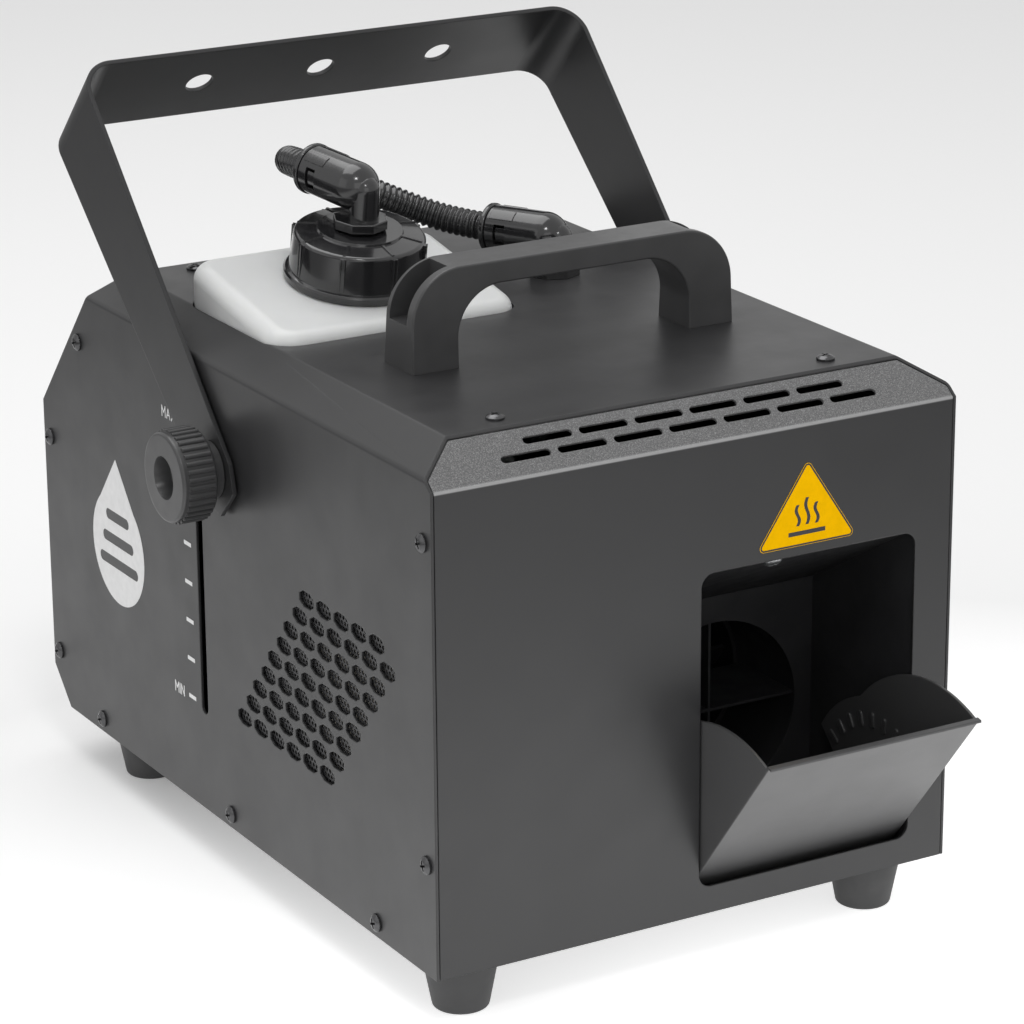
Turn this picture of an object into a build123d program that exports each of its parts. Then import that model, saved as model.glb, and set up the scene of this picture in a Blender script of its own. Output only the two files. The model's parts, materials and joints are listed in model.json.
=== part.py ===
"""Fog machine in a folded sheet-metal housing, as separate named pieces.

Working coordinates, in millimetres: X across the housing with 0 at its middle, Y from the
front panel (0) to the rear panel, Z up from the underside of the housing (0).  The finished
pieces are moved so that the origin lies on the standing surface, under the middle of the
overall box.
"""
import os
from math import atan2, cos, degrees, hypot, pi, radians, sin, tan

from build123d import *

# ---- housing -------------------------------------------------------------------------
W = 248.0            # width over the cover
D = 369.0            # depth, front panel to rear panel
H = 220.0            # height of the housing without feet
SHEET = 1.2          # sheet thickness of cover and panels
SIDE_CHAMFER = (17.4, 11.1)      # in, down: long folds between sides and top
FRONT_SLOPE = (19.2, 15.5)       # back, down: slotted panel above the front
REAR_SLOPE = (63.4, 72.7)        # forward, down: control panel at the rear
TOE = (16.6, 17.0)               # forward, up: fold at the foot of the rear panel
PANEL_GAP = 0.4      # gap between the cover and the panels that it wraps
BEND_R = 2.6         # outer radius of the cover's folds
FLANGE = 12.0        # width of the inward screw flanges

# ---- feet ----------------------------------------------------------------------------
FOOT_H = 25.0
FOOT_TOP_R = 16.5
FOOT_BOTTOM_R = 11.7
FOOT_X = 99.8
FOOT_YS = (24.0, 317.0)
FOOT_WELL = 15.0     # depth of the screw's well
FOOT_SCREW = 11.1    # screw under its head, ending flush inside the base plate

# ---- overall box ---------------------------------------------------------------------
FRONT_REACH = -50.0  # front of the outlet flap at rest
REAR_REACH = 373.5   # back of the mains inlet and sockets
ORIGIN_Y = (FRONT_REACH + REAR_REACH) / 2

# ---- screws --------------------------------------------------------------------------
SCREW_HEAD_R = 3.9
SCREW_HEAD_H = 2.1
SCREW_R = 2.0
SCREW_LEN = 7.0
SCREW_HOLE_R = 2.15
SCREW_IN = 7.0       # screw line to the sheet's edge
SIDE_SCREWS = [(SCREW_IN, 183.0), (SCREW_IN, 48.0), (50.0, 6.5), (182.5, 6.5), (315.5, 6.5),
               (D - SCREW_IN, 25.5), (D - SCREW_IN, 131.0), (326.5, 185.0)]
TOP_SCREWS = [(-78.5, 29.0), (78.5, 29.0), (-79.5, 295.0), (79.5, 295.0)]

# ---- vents ---------------------------------------------------------------------------
VENT_PITCH = (15.1, 9.0)         # along Y, along Z
VENT_HALF = (6.4, 3.5)           # half width and half height of one hole
VENT_TOP_ROW = (45.9, 129.0)     # front hole of the top row
VENT_SHIFTS = [0, -0.58, 0, 0.43, 1, 1.43, 2, 2.43, 3]   # front hole of each row, in pitches
VENT_COUNTS = [5, 6, 6, 6, 6, 6, 6, 6, 6]
SLOT = (22.4, 3.4)               # length and height of the slots above the front
SLOT_PITCH = 25.75
SLOT_ROWS = [(6, 16.2), (7, 9.3)]                        # count, distance up the slope

# ---- outlet --------------------------------------------------------------------------
OPENING_X = (-0.1, 105.3)
OPENING_Z = (12.0, 149.0)
OPENING_R = 6.0
DUCT_X = (-1.4, 106.6)
DUCT_WALL = 0.8
DUCT_FLOOR = 1.6
DUCT_BACK = 76.0
DUCT_BACK_TOP = 106.4
AIR_HOLE = (56.7, 53.0, 41.4)    # x, z, radius of the blower hole in the duct's back
TUNNEL_LEN = 44.0
VANE = (54.6, 54.0)              # x of the upright vane, z of the level vane

# ---- outlet flap, in its open rest position --------------------------------------------
FLAP_PIVOT = (19.6, 17.0)        # y, z
FLAP_ROLL_R = 13.6               # rolled foot of the flap, about its pivot
FLAP_LEAN = 38.2                 # front plate, from upright
FLAP_PLATE = 92.8                # foot of the straight plate to its lip
FLAP_SHEET = 1.2
FLAP_SIDE_GAP = 0.9
FLAP_SECTOR_R = 50.0
DETENT_R = 40.5
DETENT_STEP = 12.0
FLAP_PIN_R = 2.5

# ---- carrying handle -------------------------------------------------------------------
HANDLE_HALF = 77.6
HANDLE_LEG = 21.8
HANDLE_H = 42.5
HANDLE_BAR = 9.6
HANDLE_Y = (97.0, 122.0)
HANDLE_DRAFT = (1.0, 1.2, 3.0)   # narrowing towards the top: ends, front, back
HANDLE_R = 23.0
HANDLE_SCREW = (68.5, 110.0)     # x, y of the screws in the legs
POCKET_Y = (102.6, 117.2)
POCKET_IN = 19.6                 # end of the pocket, from the handle's end
POCKET_FLOOR = 19.5

# ---- fluid tank, cap and fittings --------------------------------------------------------
TANK_X = (-106.6, 12.0)
TANK_Y = (161.0, 250.0)
TANK_Z0 = 42.0
TANK_FRONT_Z = 223.9             # shoulder height at the tank's front edge
TANK_TILT = 10.0                 # slope of the shoulder, rising to the rear
TANK_R = 13.0
TANK_WALL = 2.5
NECK = (-45.0, 206.0, 231.8)     # underside of the cap, on the neck's axis
NECK_R = 26.4
NECK_BORE = 23.0
NECK_H = 15.5
CAP_R = 29.8
CAP_FLANGE_R = 32.0
CAP_RIM = (26.9, 21.3)           # radius and height of the roof's outer edge
CAP_WALL_TOP = (28.7, 19.4)      # radius and height where the side wall ends
CAP_RING = (18.5, 23.4)          # radius and height of the raised middle
CAP_ROOF = 18.0                  # underside of the roof
CAP_BORE_R = 7.4
CAP_RIBS = 8
FITTING_BORE_R = 4.2
FITTING_BASE = (12.1, 4.0)       # corner radius and thickness of the eight-sided base
FITTING_LEG_R = 6.5
FITTING_LEG_BACK = 2.2           # leg axis behind the base's middle
FITTING_ARM_R = 10.7
FITTING_RISE = 16.8              # base to arm axis
FITTING_HEAD = 4.2               # base's middle to the round head's centre
FITTING_NECK = 29.4              # base's middle to the groove behind the collar
FITTING_ARM = 32.6               # base's middle to the mouth
FITTING_WINDOW = (19.4, 25.0)    # side windows along the arm
PICKUP_LEN = 196.0               # cap fitting's base to the strainer
HOSE_R = 6.5
HOSE_BORE_R = 5.0
CAP_ARM_TURN = 13.0              # cap elbow's arm, from straight back towards -X
INLET_ARM_TURN = 29.0            # inlet elbow's arm, from straight back towards -X
INLET_AT = (53.0, 204.5)
CAP_FITTING = (24.3, 6.3)        # height over the neck's foot, lean to the front
HOSE_GRIP = 17.0                 # base's middle to the hose's end inside a fitting

# ---- yoke and its knobs --------------------------------------------------------------------
PIVOT = (184.5, 164.4)           # y, z
YOKE_TILT = 46.0                 # leaning back from upright
YOKE_LEN = 193.5                 # pivot to the outside of the top bar
YOKE_T = 2.0
YOKE_IN = W / 2 + 1.3            # inner faces of the arms
YOKE_BEND_R = 15.0
YOKE_HALF_TOP = 24.4
YOKE_HALF_PIVOT = 15.5
YOKE_HOLE_R = 6.5
YOKE_HOLE_PITCH = 61.3
STUD_R = 4.0
RUNNING = 0.08                   # radial clearance of pins and studs
KNOB_R = 20.5
KNOB_X = (W / 2 + 3.6, W / 2 + 9.6, W / 2 + 26.0)        # hub, rim, outer face
KNOB_HUB_R = 12.5
KNOB_RIDGES = 36

# ---- rear ----------------------------------------------------------------------------------
BUTTON_R = 4.2
BUTTON_ROW = (-33.0, -11.0, 11.0, 33.0)
BUTTON_NAMES = ("menu", "down", "up", "enter")
BUTTON_TRAVEL = 1.2
BUTTON_UP = 26.0                 # distance of the button row up the control panel
DISPLAY_UP = 60.0
DISPLAY = (66.0, 30.0)
MAINS_AT = (72.0, 48.0)
SWITCH_AT = (72.0, 98.0)
ROCKER_PIVOT = 3.2               # axle of the rocker, inside the rear panel
ROCKER_AXLE_R = 1.1
FUSE_AT = (30.0, 48.0)
SOCKETS_AT = [(-78.0, 100.0), (-78.0, 55.0)]
SOCKET_R = 9.6

PARTS = {}
UPWARD = (Align.CENTER, Align.CENTER, Align.MIN)


# ---- helpers ---------------------------------------------------------------------------------
def keep(name, shape):
    """Keep a piece under its node's name."""
    shape.label = name
    PARTS[name] = shape


def block(x0, x1, y0, y1, z0, z1):
    """Box between two corners."""
    box = Box(x1 - x0, y1 - y0, z1 - z0, align=(Align.MIN, Align.MIN, Align.MIN))
    return Pos(x0, y0, z0) * box


def polygon_x(points, x):
    """Face from (y, z) points in the plane at x."""
    return make_face(Polyline(*[(x, y, z) for y, z in points], close=True))


def prism_x(points, x0, x1):
    """Solid with a (y, z) outline, from x0 to x1."""
    return extrude(polygon_x(points, x0), amount=x1 - x0, dir=(1, 0, 0))


def prism_y(points, y0, y1):
    """Solid with an (x, z) outline, from y0 to y1."""
    face = make_face(Polyline(*[(x, y0, z) for x, z in points], close=True))
    return extrude(face, amount=y1 - y0, dir=(0, 1, 0))


def rod(start, end, radius):
    """Cylinder between two points."""
    a, b = Vector(*start), Vector(*end)
    axis = b - a
    cylinder = Cylinder(radius, axis.length, align=UPWARD)
    return Plane(origin=a, z_dir=axis) * cylinder


def tube(start, end, radius, bore):
    """Hollow cylinder between two points."""
    a, b = Vector(*start), Vector(*end)
    over = (b - a).normalized()
    return rod(start, end, radius) - rod(a - over, b + over, bore)


def strip(points, thickness):
    """Closed outline of a folded sheet: the points and their offset to the right."""
    lines = []
    for (y0, z0), (y1, z1) in zip(points, points[1:]):
        length = hypot(y1 - y0, z1 - z0)
        ny, nz = (z1 - z0) / length, -(y1 - y0) / length
        lines.append(((y0 + ny * thickness, z0 + nz * thickness), (y1 - y0, z1 - z0), (ny, nz)))
    inner = [lines[0][0]]
    for (p, d, _), (q, e, _) in zip(lines, lines[1:]):
        cross = d[0] * e[1] - d[1] * e[0]
        t = ((q[0] - p[0]) * e[1] - (q[1] - p[1]) * e[0]) / cross
        inner.append((p[0] + t * d[0], p[1] + t * d[1]))
    (_, _, n) = lines[-1]
    inner.append((points[-1][0] + n[0] * thickness, points[-1][1] + n[1] * thickness))
    return list(points) + inner[::-1]


def pan_screw(at, outward, length=SCREW_LEN):
    """Pan-head screw with a cross recess; its head sits on the point `at`."""
    side = SCREW_HEAD_R
    rise = SCREW_HEAD_H
    profile = Polyline((0, 0, -length), (SCREW_R, 0, -length), (SCREW_R, 0, 0), (side, 0, 0),
                       (side, 0, rise * 0.45))
    crown = ThreePointArc((side, 0, rise * 0.45), (side * 0.72, 0, rise * 0.86), (0, 0, rise))
    axis_line = Line((0, 0, rise), (0, 0, -length))
    screw = revolve(make_face([*profile.edges(), crown, axis_line]), Axis.Z)
    for turn in (0, 90):
        recess = Box(4.2, 0.9, 1.4, align=UPWARD)
        screw -= Pos(0, 0, rise - 1.2) * Rot(0, 0, turn + 20) * recess
    return Plane(origin=at, z_dir=outward) * screw


def group(solids):
    """Several separate solids kept as one node."""
    return Compound(children=list(solids))


# ---- housing ---------------------------------------------------------------------------------
def shell_outline(inset):
    """Cross section of the cover's outside, moved in by `inset`, open downwards."""
    cx, cz = SIDE_CHAMFER
    lean = atan2(cx, cz)
    shift = inset * tan(lean / 2)
    turn = inset * tan((pi / 2 - lean) / 2)
    return [(-W / 2 + inset, -5.0 if inset else 0.0), (-W / 2 + inset, H - cz - shift),
            (-W / 2 + cx + turn, H - inset), (W / 2 - cx - turn, H - inset),
            (W / 2 - inset, H - cz - shift), (W / 2 - inset, -5.0 if inset else 0.0)]


def shell_block(inset, radius):
    """Solid that fills the cover's cross section, with rounded folds."""
    solid = prism_y(shell_outline(inset), 0, D)
    folds = [e for e in solid.edges().filter_by(Axis.Y) if e.center().Z > H / 2]
    return fillet(folds, radius)


def side_outline():
    """Outline of the housing seen from the side."""
    return [(0, 0), (0, H - FRONT_SLOPE[1]), (FRONT_SLOPE[0], H), (D - REAR_SLOPE[0], H),
            (D, H - REAR_SLOPE[1]), (D, TOE[1]), (D - TOE[0], 0)]


def vent_centres():
    """Centres (y, z) of the vent holes, row by row."""
    y0, z0 = VENT_TOP_ROW
    for row, (shift, count) in enumerate(zip(VENT_SHIFTS, VENT_COUNTS)):
        for i in range(count):
            yield y0 + (shift + i) * VENT_PITCH[0], z0 - row * VENT_PITCH[1]


def vent_hole(y, z):
    """One rounded six-sided hole through both sides of the cover."""
    a, b = VENT_HALF
    points = [(-a, -b * 0.45), (-a, b * 0.45), (-a * 0.45, b), (a * 0.45, b),
              (a, b * 0.45), (a, -b * 0.45), (a * 0.45, -b), (-a * 0.45, -b)]
    return polygon_x([(y + u, z + v) for u, v in points], -W / 2 - 1)


def tank_window(clearance):
    """Rounded opening in the top for the tank."""
    x0, x1 = TANK_X
    y0, y1 = TANK_Y
    solid = block(x0 - clearance, x1 + clearance, y0 - clearance, y1 + clearance, H - 12, H + 3)
    return fillet(solid.edges().filter_by(Axis.Z), TANK_R + clearance)


def cover():
    """Folded cover: both sides, both long chamfers and the top in one sheet."""
    shape = shell_block(0, BEND_R) - shell_block(SHEET, BEND_R - SHEET)
    shape &= prism_x(side_outline(), -W / 2 - 1, W / 2 + 1)
    vents = [vent_hole(y, z) for y, z in vent_centres()]
    shape -= extrude(Sketch() + vents, amount=SHEET + 3, dir=(1, 0, 0))
    shape -= Pos(W - SHEET - 1, 0, 0) * extrude(Sketch() + vents, amount=SHEET + 3, dir=(1, 0, 0))
    shape -= tank_window(0.7)
    level_slot = block(-W / 2 - 1, -W / 2 + 3, 202.9, 209.2, 45.6, 178.0)
    shape -= fillet(level_slot.edges().filter_by(Axis.X), 3.0)
    sx, sy = HANDLE_SCREW
    for side in (-1, 1):
        for y, z in SIDE_SCREWS:
            shape -= rod((side * (W / 2 - 4), y, z), (side * (W / 2 + 2), y, z), SCREW_HOLE_R)
        shape -= rod((side * (W / 2 - 4), *PIVOT), (side * (W / 2 + 2), *PIVOT), 6.6)
        shape -= rod((side * sx, sy, H - 4), (side * sx, sy, H + 2), SCREW_HOLE_R)
    for x, y in TOP_SCREWS:
        shape -= rod((x, y, H - 4), (x, y, H + 2), SCREW_HOLE_R)
    shape -= rod((*INLET_AT, H - 4), (*INLET_AT, H + 2), FITTING_LEG_R + 0.2)
    keep("cover", shape)


def within_cover(shape):
    """Trim a panel to the inside of the cover."""
    return shape & shell_block(SHEET + PANEL_GAP, BEND_R - SHEET)


def side_flanges(points):
    """Pair of flat flanges lying against the inside of the cover's sides."""
    outer = W / 2 - SHEET - PANEL_GAP
    left = prism_x(points, -outer, -outer + SHEET)
    right = prism_x(points, outer - SHEET, outer)
    return left + right


def drill_sides(shape):
    """Cut the side screws' holes."""
    for y, z in SIDE_SCREWS:
        shape -= rod((-W / 2, y, z), (W / 2, y, z), SCREW_HOLE_R - 0.05)
    return shape


def drill_top(shape):
    """Cut the top screws' holes."""
    for x, y in TOP_SCREWS:
        shape -= rod((x, y, H - 8), (x, y, H + 2), SCREW_HOLE_R - 0.05)
    return shape


def slope_frame():
    """Plane on the slotted slope: X across, Y up the slope, Z outward."""
    fy, fz = FRONT_SLOPE
    return Plane(origin=(0, 0, H - fz), x_dir=(1, 0, 0), z_dir=(0, -fz, fy))


def front_panel():
    """Front with the outlet opening, and the slotted slope above it."""
    fy, fz = FRONT_SLOPE
    bottom = 0.0
    panel = prism_x(strip([(0, bottom), (0, H - fz), (fy, H)], SHEET), -W / 2, W / 2)
    panel = within_cover(panel)
    panel += side_flanges([(SHEET, 15), (SHEET, 195), (SHEET + FLANGE, 195), (SHEET + FLANGE, 15)])
    panel += block(-95, 95, fy - 0.9, fy + 17, H - 2 * SHEET - 0.1, H - SHEET - 0.1)
    opening = block(*OPENING_X, -2, 5, *OPENING_Z)
    panel -= fillet(opening.edges().filter_by(Axis.Y), OPENING_R)
    frame = slope_frame()
    for count, up in SLOT_ROWS:
        for i in range(count):
            x = (i - (count - 1) / 2) * SLOT_PITCH
            slot = extrude(SlotOverall(*SLOT), amount=3, both=True)
            panel -= frame * Pos(x, up, 0) * slot
    keep("front_panel", drill_top(drill_sides(panel)))


def base_plate():
    """Bottom of the housing, with upturned sides and slots under the boards."""
    inner = W / 2 - SHEET - PANEL_GAP
    plate = block(-inner, inner, SHEET + 0.1, D - TOE[0] - 1.2, 0, SHEET)
    y1 = D - TOE[0] - 4
    plate += side_flanges([(16, 0), (16, FLANGE), (y1, FLANGE), (y1, 0)])
    for x in (-FOOT_X, FOOT_X):
        for y in FOOT_YS:
            plate -= rod((x, y, -2), (x, y, 4), SCREW_HOLE_R)
    for i in range(9):
        x = (i - 4) * 12.0
        slot = block(x - 2, x + 2, 276, 306, -2, 4)
        plate -= fillet(slot.edges().filter_by(Axis.Z), 1.9)
    keep("base_plate", drill_sides(plate))


def rear_cuts(y0, y1):
    """Openings in the upright rear panel."""
    cuts = [block(MAINS_AT[0] - 14, MAINS_AT[0] + 14, y0, y1, MAINS_AT[1] - 12, MAINS_AT[1] + 12),
            block(SWITCH_AT[0] - 9.6, SWITCH_AT[0] + 9.6, y0, y1,
                  SWITCH_AT[1] - 6.6, SWITCH_AT[1] + 6.6),
            rod((FUSE_AT[0], y0, FUSE_AT[1]), (FUSE_AT[0], y1, FUSE_AT[1]), 6.3)]
    for x, z in SOCKETS_AT:
        cuts.append(rod((x, y0, z), (x, y1, z), SOCKET_R + 1.6))
    return cuts


def rear_panel():
    """Upright rear panel with its folded toe."""
    rz = H - REAR_SLOPE[1]
    outline = strip([(D, rz - 1.3), (D, TOE[1]), (D - TOE[0], 0)], SHEET)
    panel = within_cover(prism_x(outline, -W / 2, W / 2))
    y1 = D - SHEET
    panel += side_flanges([(y1 - FLANGE, 20), (y1 - FLANGE, rz - 6), (y1, rz - 6), (y1, 20)])
    for cut in rear_cuts(D - 4, D + 2):
        panel -= cut
    keep("rear_panel", drill_sides(panel))


def control_frame():
    """Plane on the control panel: X to the viewer's right from behind, Y up the slope."""
    ry, rz = REAR_SLOPE
    return Plane(origin=(0, D, H - rz), x_dir=(-1, 0, 0), z_dir=(0, rz, ry))


def control_panel():
    """Sloped rear panel with the display window and the button holes."""
    ry, rz = REAR_SLOPE
    outline = strip([(D - ry, H), (D, H - rz)], SHEET)
    panel = within_cover(prism_x(outline, -W / 2, W / 2))
    slope = hypot(ry, rz)
    uy, uz = -ry / slope, rz / slope
    ny, nz = -uz, uy
    base = (D + ny * 0.2 * 6, H - rz + nz * 0.2 * 6)
    corners = [(8, 0), (slope - 16, 0), (slope - 16, FLANGE + 2), (8, FLANGE + 2)]
    flange = [(base[0] + a * uy + b * ny, base[1] + a * uz + b * nz) for a, b in corners]
    panel += side_flanges(flange)
    panel += block(-95, 95, D - ry - 17, D - ry + 0.6, H - 2 * SHEET - 0.1, H - SHEET - 0.1)
    frame = control_frame()
    window = extrude(Rectangle(*DISPLAY), amount=3, both=True)
    panel -= frame * Pos(0, DISPLAY_UP, 0) * window
    for x in BUTTON_ROW:
        hole = extrude(Circle(BUTTON_R + 0.3), amount=3, both=True)
        panel -= frame * Pos(x, BUTTON_UP, 0) * hole
    keep("control_panel", drill_top(drill_sides(panel)))


def feet():
    """Four tapered rubber feet and their screws."""
    cones = []
    screws = []
    for y in FOOT_YS:
        for x in (-FOOT_X, FOOT_X):
            cone = Cone(FOOT_BOTTOM_R, FOOT_TOP_R, FOOT_H, align=UPWARD)
            cone = fillet(cone.edges().sort_by(Axis.Z)[0], 1.6)
            cone -= Cylinder(5.5, FOOT_WELL, align=UPWARD)
            cone -= Cylinder(SCREW_HOLE_R, 60)
            cones.append(Pos(x, y, -FOOT_H) * cone)
            screws.append(pan_screw((x, y, -FOOT_H + FOOT_WELL), (0, 0, -1), FOOT_SCREW))
    keep("feet", group(cones))
    keep("foot_screws", group(screws))


def cover_screws():
    """Screws in the cover's sides and top."""
    sides = []
    for side in (-1, 1):
        for y, z in SIDE_SCREWS:
            sides.append(pan_screw((side * W / 2, y, z), (side, 0, 0)))
    keep("side_screws", group(sides))
    keep("top_screws", group(pan_screw((x, y, H), (0, 0, 1)) for x, y in TOP_SCREWS))


# ---- outlet ------------------------------------------------------------------------------------
def outlet_duct():
    """Sheet duct behind the outlet opening: floor, sides, sloping roof and back."""
    x0, x1 = DUCT_X
    front = SHEET + 0.2
    roof = OPENING_Z[1] + 0.6
    inside = [(front, DUCT_FLOOR + DUCT_WALL), (front, roof), (DUCT_BACK, DUCT_BACK_TOP),
              (DUCT_BACK, DUCT_FLOOR + DUCT_WALL)]
    t = DUCT_WALL
    outside = [(front, DUCT_FLOOR), (front, roof + t), (DUCT_BACK + t, DUCT_BACK_TOP + t),
               (DUCT_BACK + t, DUCT_FLOOR)]
    duct = prism_x(outside, x0 - t, x1 + t) - prism_x(inside, x0, x1)
    hx, hz, hr = AIR_HOLE
    duct -= rod((hx, DUCT_BACK - 3, hz), (hx, DUCT_BACK + 3, hz), hr)
    py, pz = FLAP_PIVOT
    duct -= rod((x0 - 3, py, pz), (x1 + 3, py, pz), FLAP_PIN_R + RUNNING)
    duct -= rod((x0 - 3, 40, 74), (x0 + 3, 40, 74), 6.3)
    rise = (DUCT_BACK_TOP - roof) / (DUCT_BACK - front)
    seat = (38.0, 6.0, roof + rise * (6.0 - front))
    inward = (0, rise, -1)
    duct -= Plane(origin=seat, z_dir=inward) * Cylinder(SCREW_HOLE_R, 8)
    keep("outlet_duct", duct)
    keep("duct_screw", pan_screw(seat, inward, 4))


def air_tunnel():
    """Round tunnel from the blower to the duct, with two crossed vanes in it."""
    hx, hz, hr = AIR_HOLE
    y0 = DUCT_BACK + DUCT_WALL + 0.05
    y1 = y0 + TUNNEL_LEN
    keep("air_tunnel", tube((hx, y0, hz), (hx, y1, hz), hr + 0.9, hr))
    vx, vz = VANE
    space = rod((hx, y0 + 0.5, hz), (hx, y1 - 3, hz), hr - 0.05)
    upright = block(vx - 0.6, vx + 0.6, y0, y1, 0, 110) & space
    level = block(0, 110, y0, y1, vz - 0.6, vz + 0.6) & space
    keep("flow_vanes", upright + level)


def blower():
    """Axial blower behind the tunnel: frame with spokes, and its turning rotor."""
    hx, hz, hr = AIR_HOLE
    y0 = DUCT_BACK + DUCT_WALL + TUNNEL_LEN + 0.4
    depth = 25.0
    half = 42.0
    frame = block(hx - half, hx + half, y0, y0 + depth, hz - half, hz + half)
    frame = fillet(frame.edges().filter_by(Axis.Y), 4)
    frame -= rod((hx, y0 - 1, hz), (hx, y0 + depth + 1, hz), 39.5)
    for turn in range(4):
        spoke = Box(33.0, 3.0, 4.0)
        angle = 45 + 90 * turn
        arm = Pos(hx, y0 + depth - 1.5, hz) * Rot(0, angle, 0) * Pos(26.0, 0, 0) * spoke
        frame += arm
    frame += rod((hx, y0 + depth - 3, hz), (hx, y0 + depth, hz), 15)
    frame += tube((hx, y0 + 9, hz), (hx, y0 + depth - 2.9, hz), 3.6, 1.6)
    for sx in (-1, 1):
        for sz in (-1, 1):
            frame -= rod((hx + sx * 36, y0 - 1, hz + sz * 36),
                         (hx + sx * 36, y0 + depth + 1, hz + sz * 36), 2.2)
    keep("blower_frame", frame)
    hub = rod((hx, y0 + 2, hz), (hx, y0 + 20.5, hz), 17) - rod((hx, y0 + 5, hz),
                                                             (hx, y0 + 21, hz), 15)
    hub += rod((hx, y0 + 4, hz), (hx, y0 + 20, hz), 1.6 - RUNNING)
    for i in range(7):
        blade = Box(21.4, 1.6, 19.0)
        angle = 360 * i / 7
        hub += Pos(hx, y0 + 11, hz) * Rot(0, angle, 0) * Pos(27.2, 0, 0) * Rot(38, 0, 0) * blade
    rotor = hub & rod((hx, y0 + 1.5, hz), (hx, y0 + 20.6, hz), 38.0)
    keep("blower_rotor", rotor)


def flap_point(angle, radius):
    """Point at an angle (degrees, from +Y towards +Z) and radius about the flap's pivot."""
    return (FLAP_PIVOT[0] + radius * cos(radians(angle)),
            FLAP_PIVOT[1] + radius * sin(radians(angle)))


def flap_side_face(x):
    """Side plate's outline: plate edge, arched top, sector about the pivot, rolled foot."""
    lean = radians(FLAP_LEAN)
    radius = FLAP_ROLL_R - FLAP_SHEET / 2
    foot = flap_point(180 + FLAP_LEAN, radius)
    reach = FLAP_PLATE - 1.0
    lip = (foot[0] - reach * sin(lean), foot[1] + reach * cos(lean))

    def at(point):
        return (x, *point)

    meet = at(flap_point(72.7, FLAP_SECTOR_R))
    corner = at(flap_point(31, FLAP_SECTOR_R))
    heel = at(flap_point(-56, radius))
    edges = [Line(at(foot), at(lip)), ThreePointArc(at(lip), at((-14.0, 88.0)), meet),
             ThreePointArc(meet, at(flap_point(52, FLAP_SECTOR_R)), corner), Line(corner, heel),
             ThreePointArc(heel, at(flap_point(250, radius)), at(foot))]
    return make_face(edges)


def flap_profile(x):
    """Section of the flap's sheet: rolled foot, straight plate and outward lip."""
    lean = radians(FLAP_LEAN)
    t = FLAP_SHEET
    foot_angle = 180 + FLAP_LEAN
    foot = flap_point(foot_angle, FLAP_ROLL_R)
    foot_in = flap_point(foot_angle, FLAP_ROLL_R - t)
    lip = (foot[0] - FLAP_PLATE * sin(lean), foot[1] + FLAP_PLATE * cos(lean))
    curl = (lip[0] - 1.5, lip[1] - 0.5)
    curl_top = (lip[0] - 1.4, lip[1] + 0.5)
    lip_in = (lip[0] + t * cos(lean), lip[1] + t * sin(lean) + 0.3)

    def at(point):
        return (x, *point)

    def bend(radius, first, last):
        middle = at(flap_point((first + last) / 2, radius))
        return ThreePointArc(at(flap_point(first, radius)), middle, at(flap_point(last, radius)))

    heel_angle = 298
    sheet_edge = Polyline(at(foot), at(lip), at(curl), at(curl_top), at(lip_in), at(foot_in))
    end = Line(at(flap_point(heel_angle, FLAP_ROLL_R - t)), at(flap_point(heel_angle, FLAP_ROLL_R)))
    return make_face([*sheet_edge.edges(), bend(FLAP_ROLL_R - t, foot_angle, heel_angle), end,
                      bend(FLAP_ROLL_R, heel_angle, foot_angle)])


def outlet_flap():
    """Scoop-shaped flap: front plate with a rolled foot, lip, two sides with detents."""
    x0 = OPENING_X[0] + FLAP_SIDE_GAP + 0.1
    x1 = OPENING_X[1] - FLAP_SIDE_GAP
    t = FLAP_SHEET
    flap = extrude(flap_profile(x0), amount=x1 - x0, dir=(1, 0, 0))
    for x in (x0 - 0.1, x1 - t + 0.1):
        flap += extrude(flap_side_face(x), amount=t, dir=(1, 0, 0))
    for i in range(7):
        angle = 35 + DETENT_STEP * i
        outward = (0, cos(radians(angle)), sin(radians(angle)))
        for x, way in ((x0 + t - 0.3, 1), (x1 - t + 0.3, -1)):
            frame = Plane(origin=(x, *flap_point(angle, DETENT_R)), x_dir=outward,
                          z_dir=(way, 0, 0))
            flap += frame * extrude(SlotOverall(7.0, 2.6), amount=0.9)
    py, pz = FLAP_PIVOT
    flap -= rod((x0 - 2, py, pz), (x1 + 2, py, pz), FLAP_PIN_R)
    keep("outlet_flap", flap)
    pins = []
    for x_in, x_out in ((x0 + t + 0.8, DUCT_X[0] - DUCT_WALL - 1.6),
                        (x1 - t - 0.8, DUCT_X[1] + DUCT_WALL + 1.6)):
        way = 1 if x_out > x_in else -1
        pin = rod((x_in, py, pz), (x_out, py, pz), FLAP_PIN_R)
        pin += rod((x_in, py, pz), (x_in + way * 0.6, py, pz), 4.2)
        pin += rod((x_out - way * 1.2, py, pz), (x_out, py, pz), 4.0)
        pins.append(pin)
    keep("flap_pins", group(pins))


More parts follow.
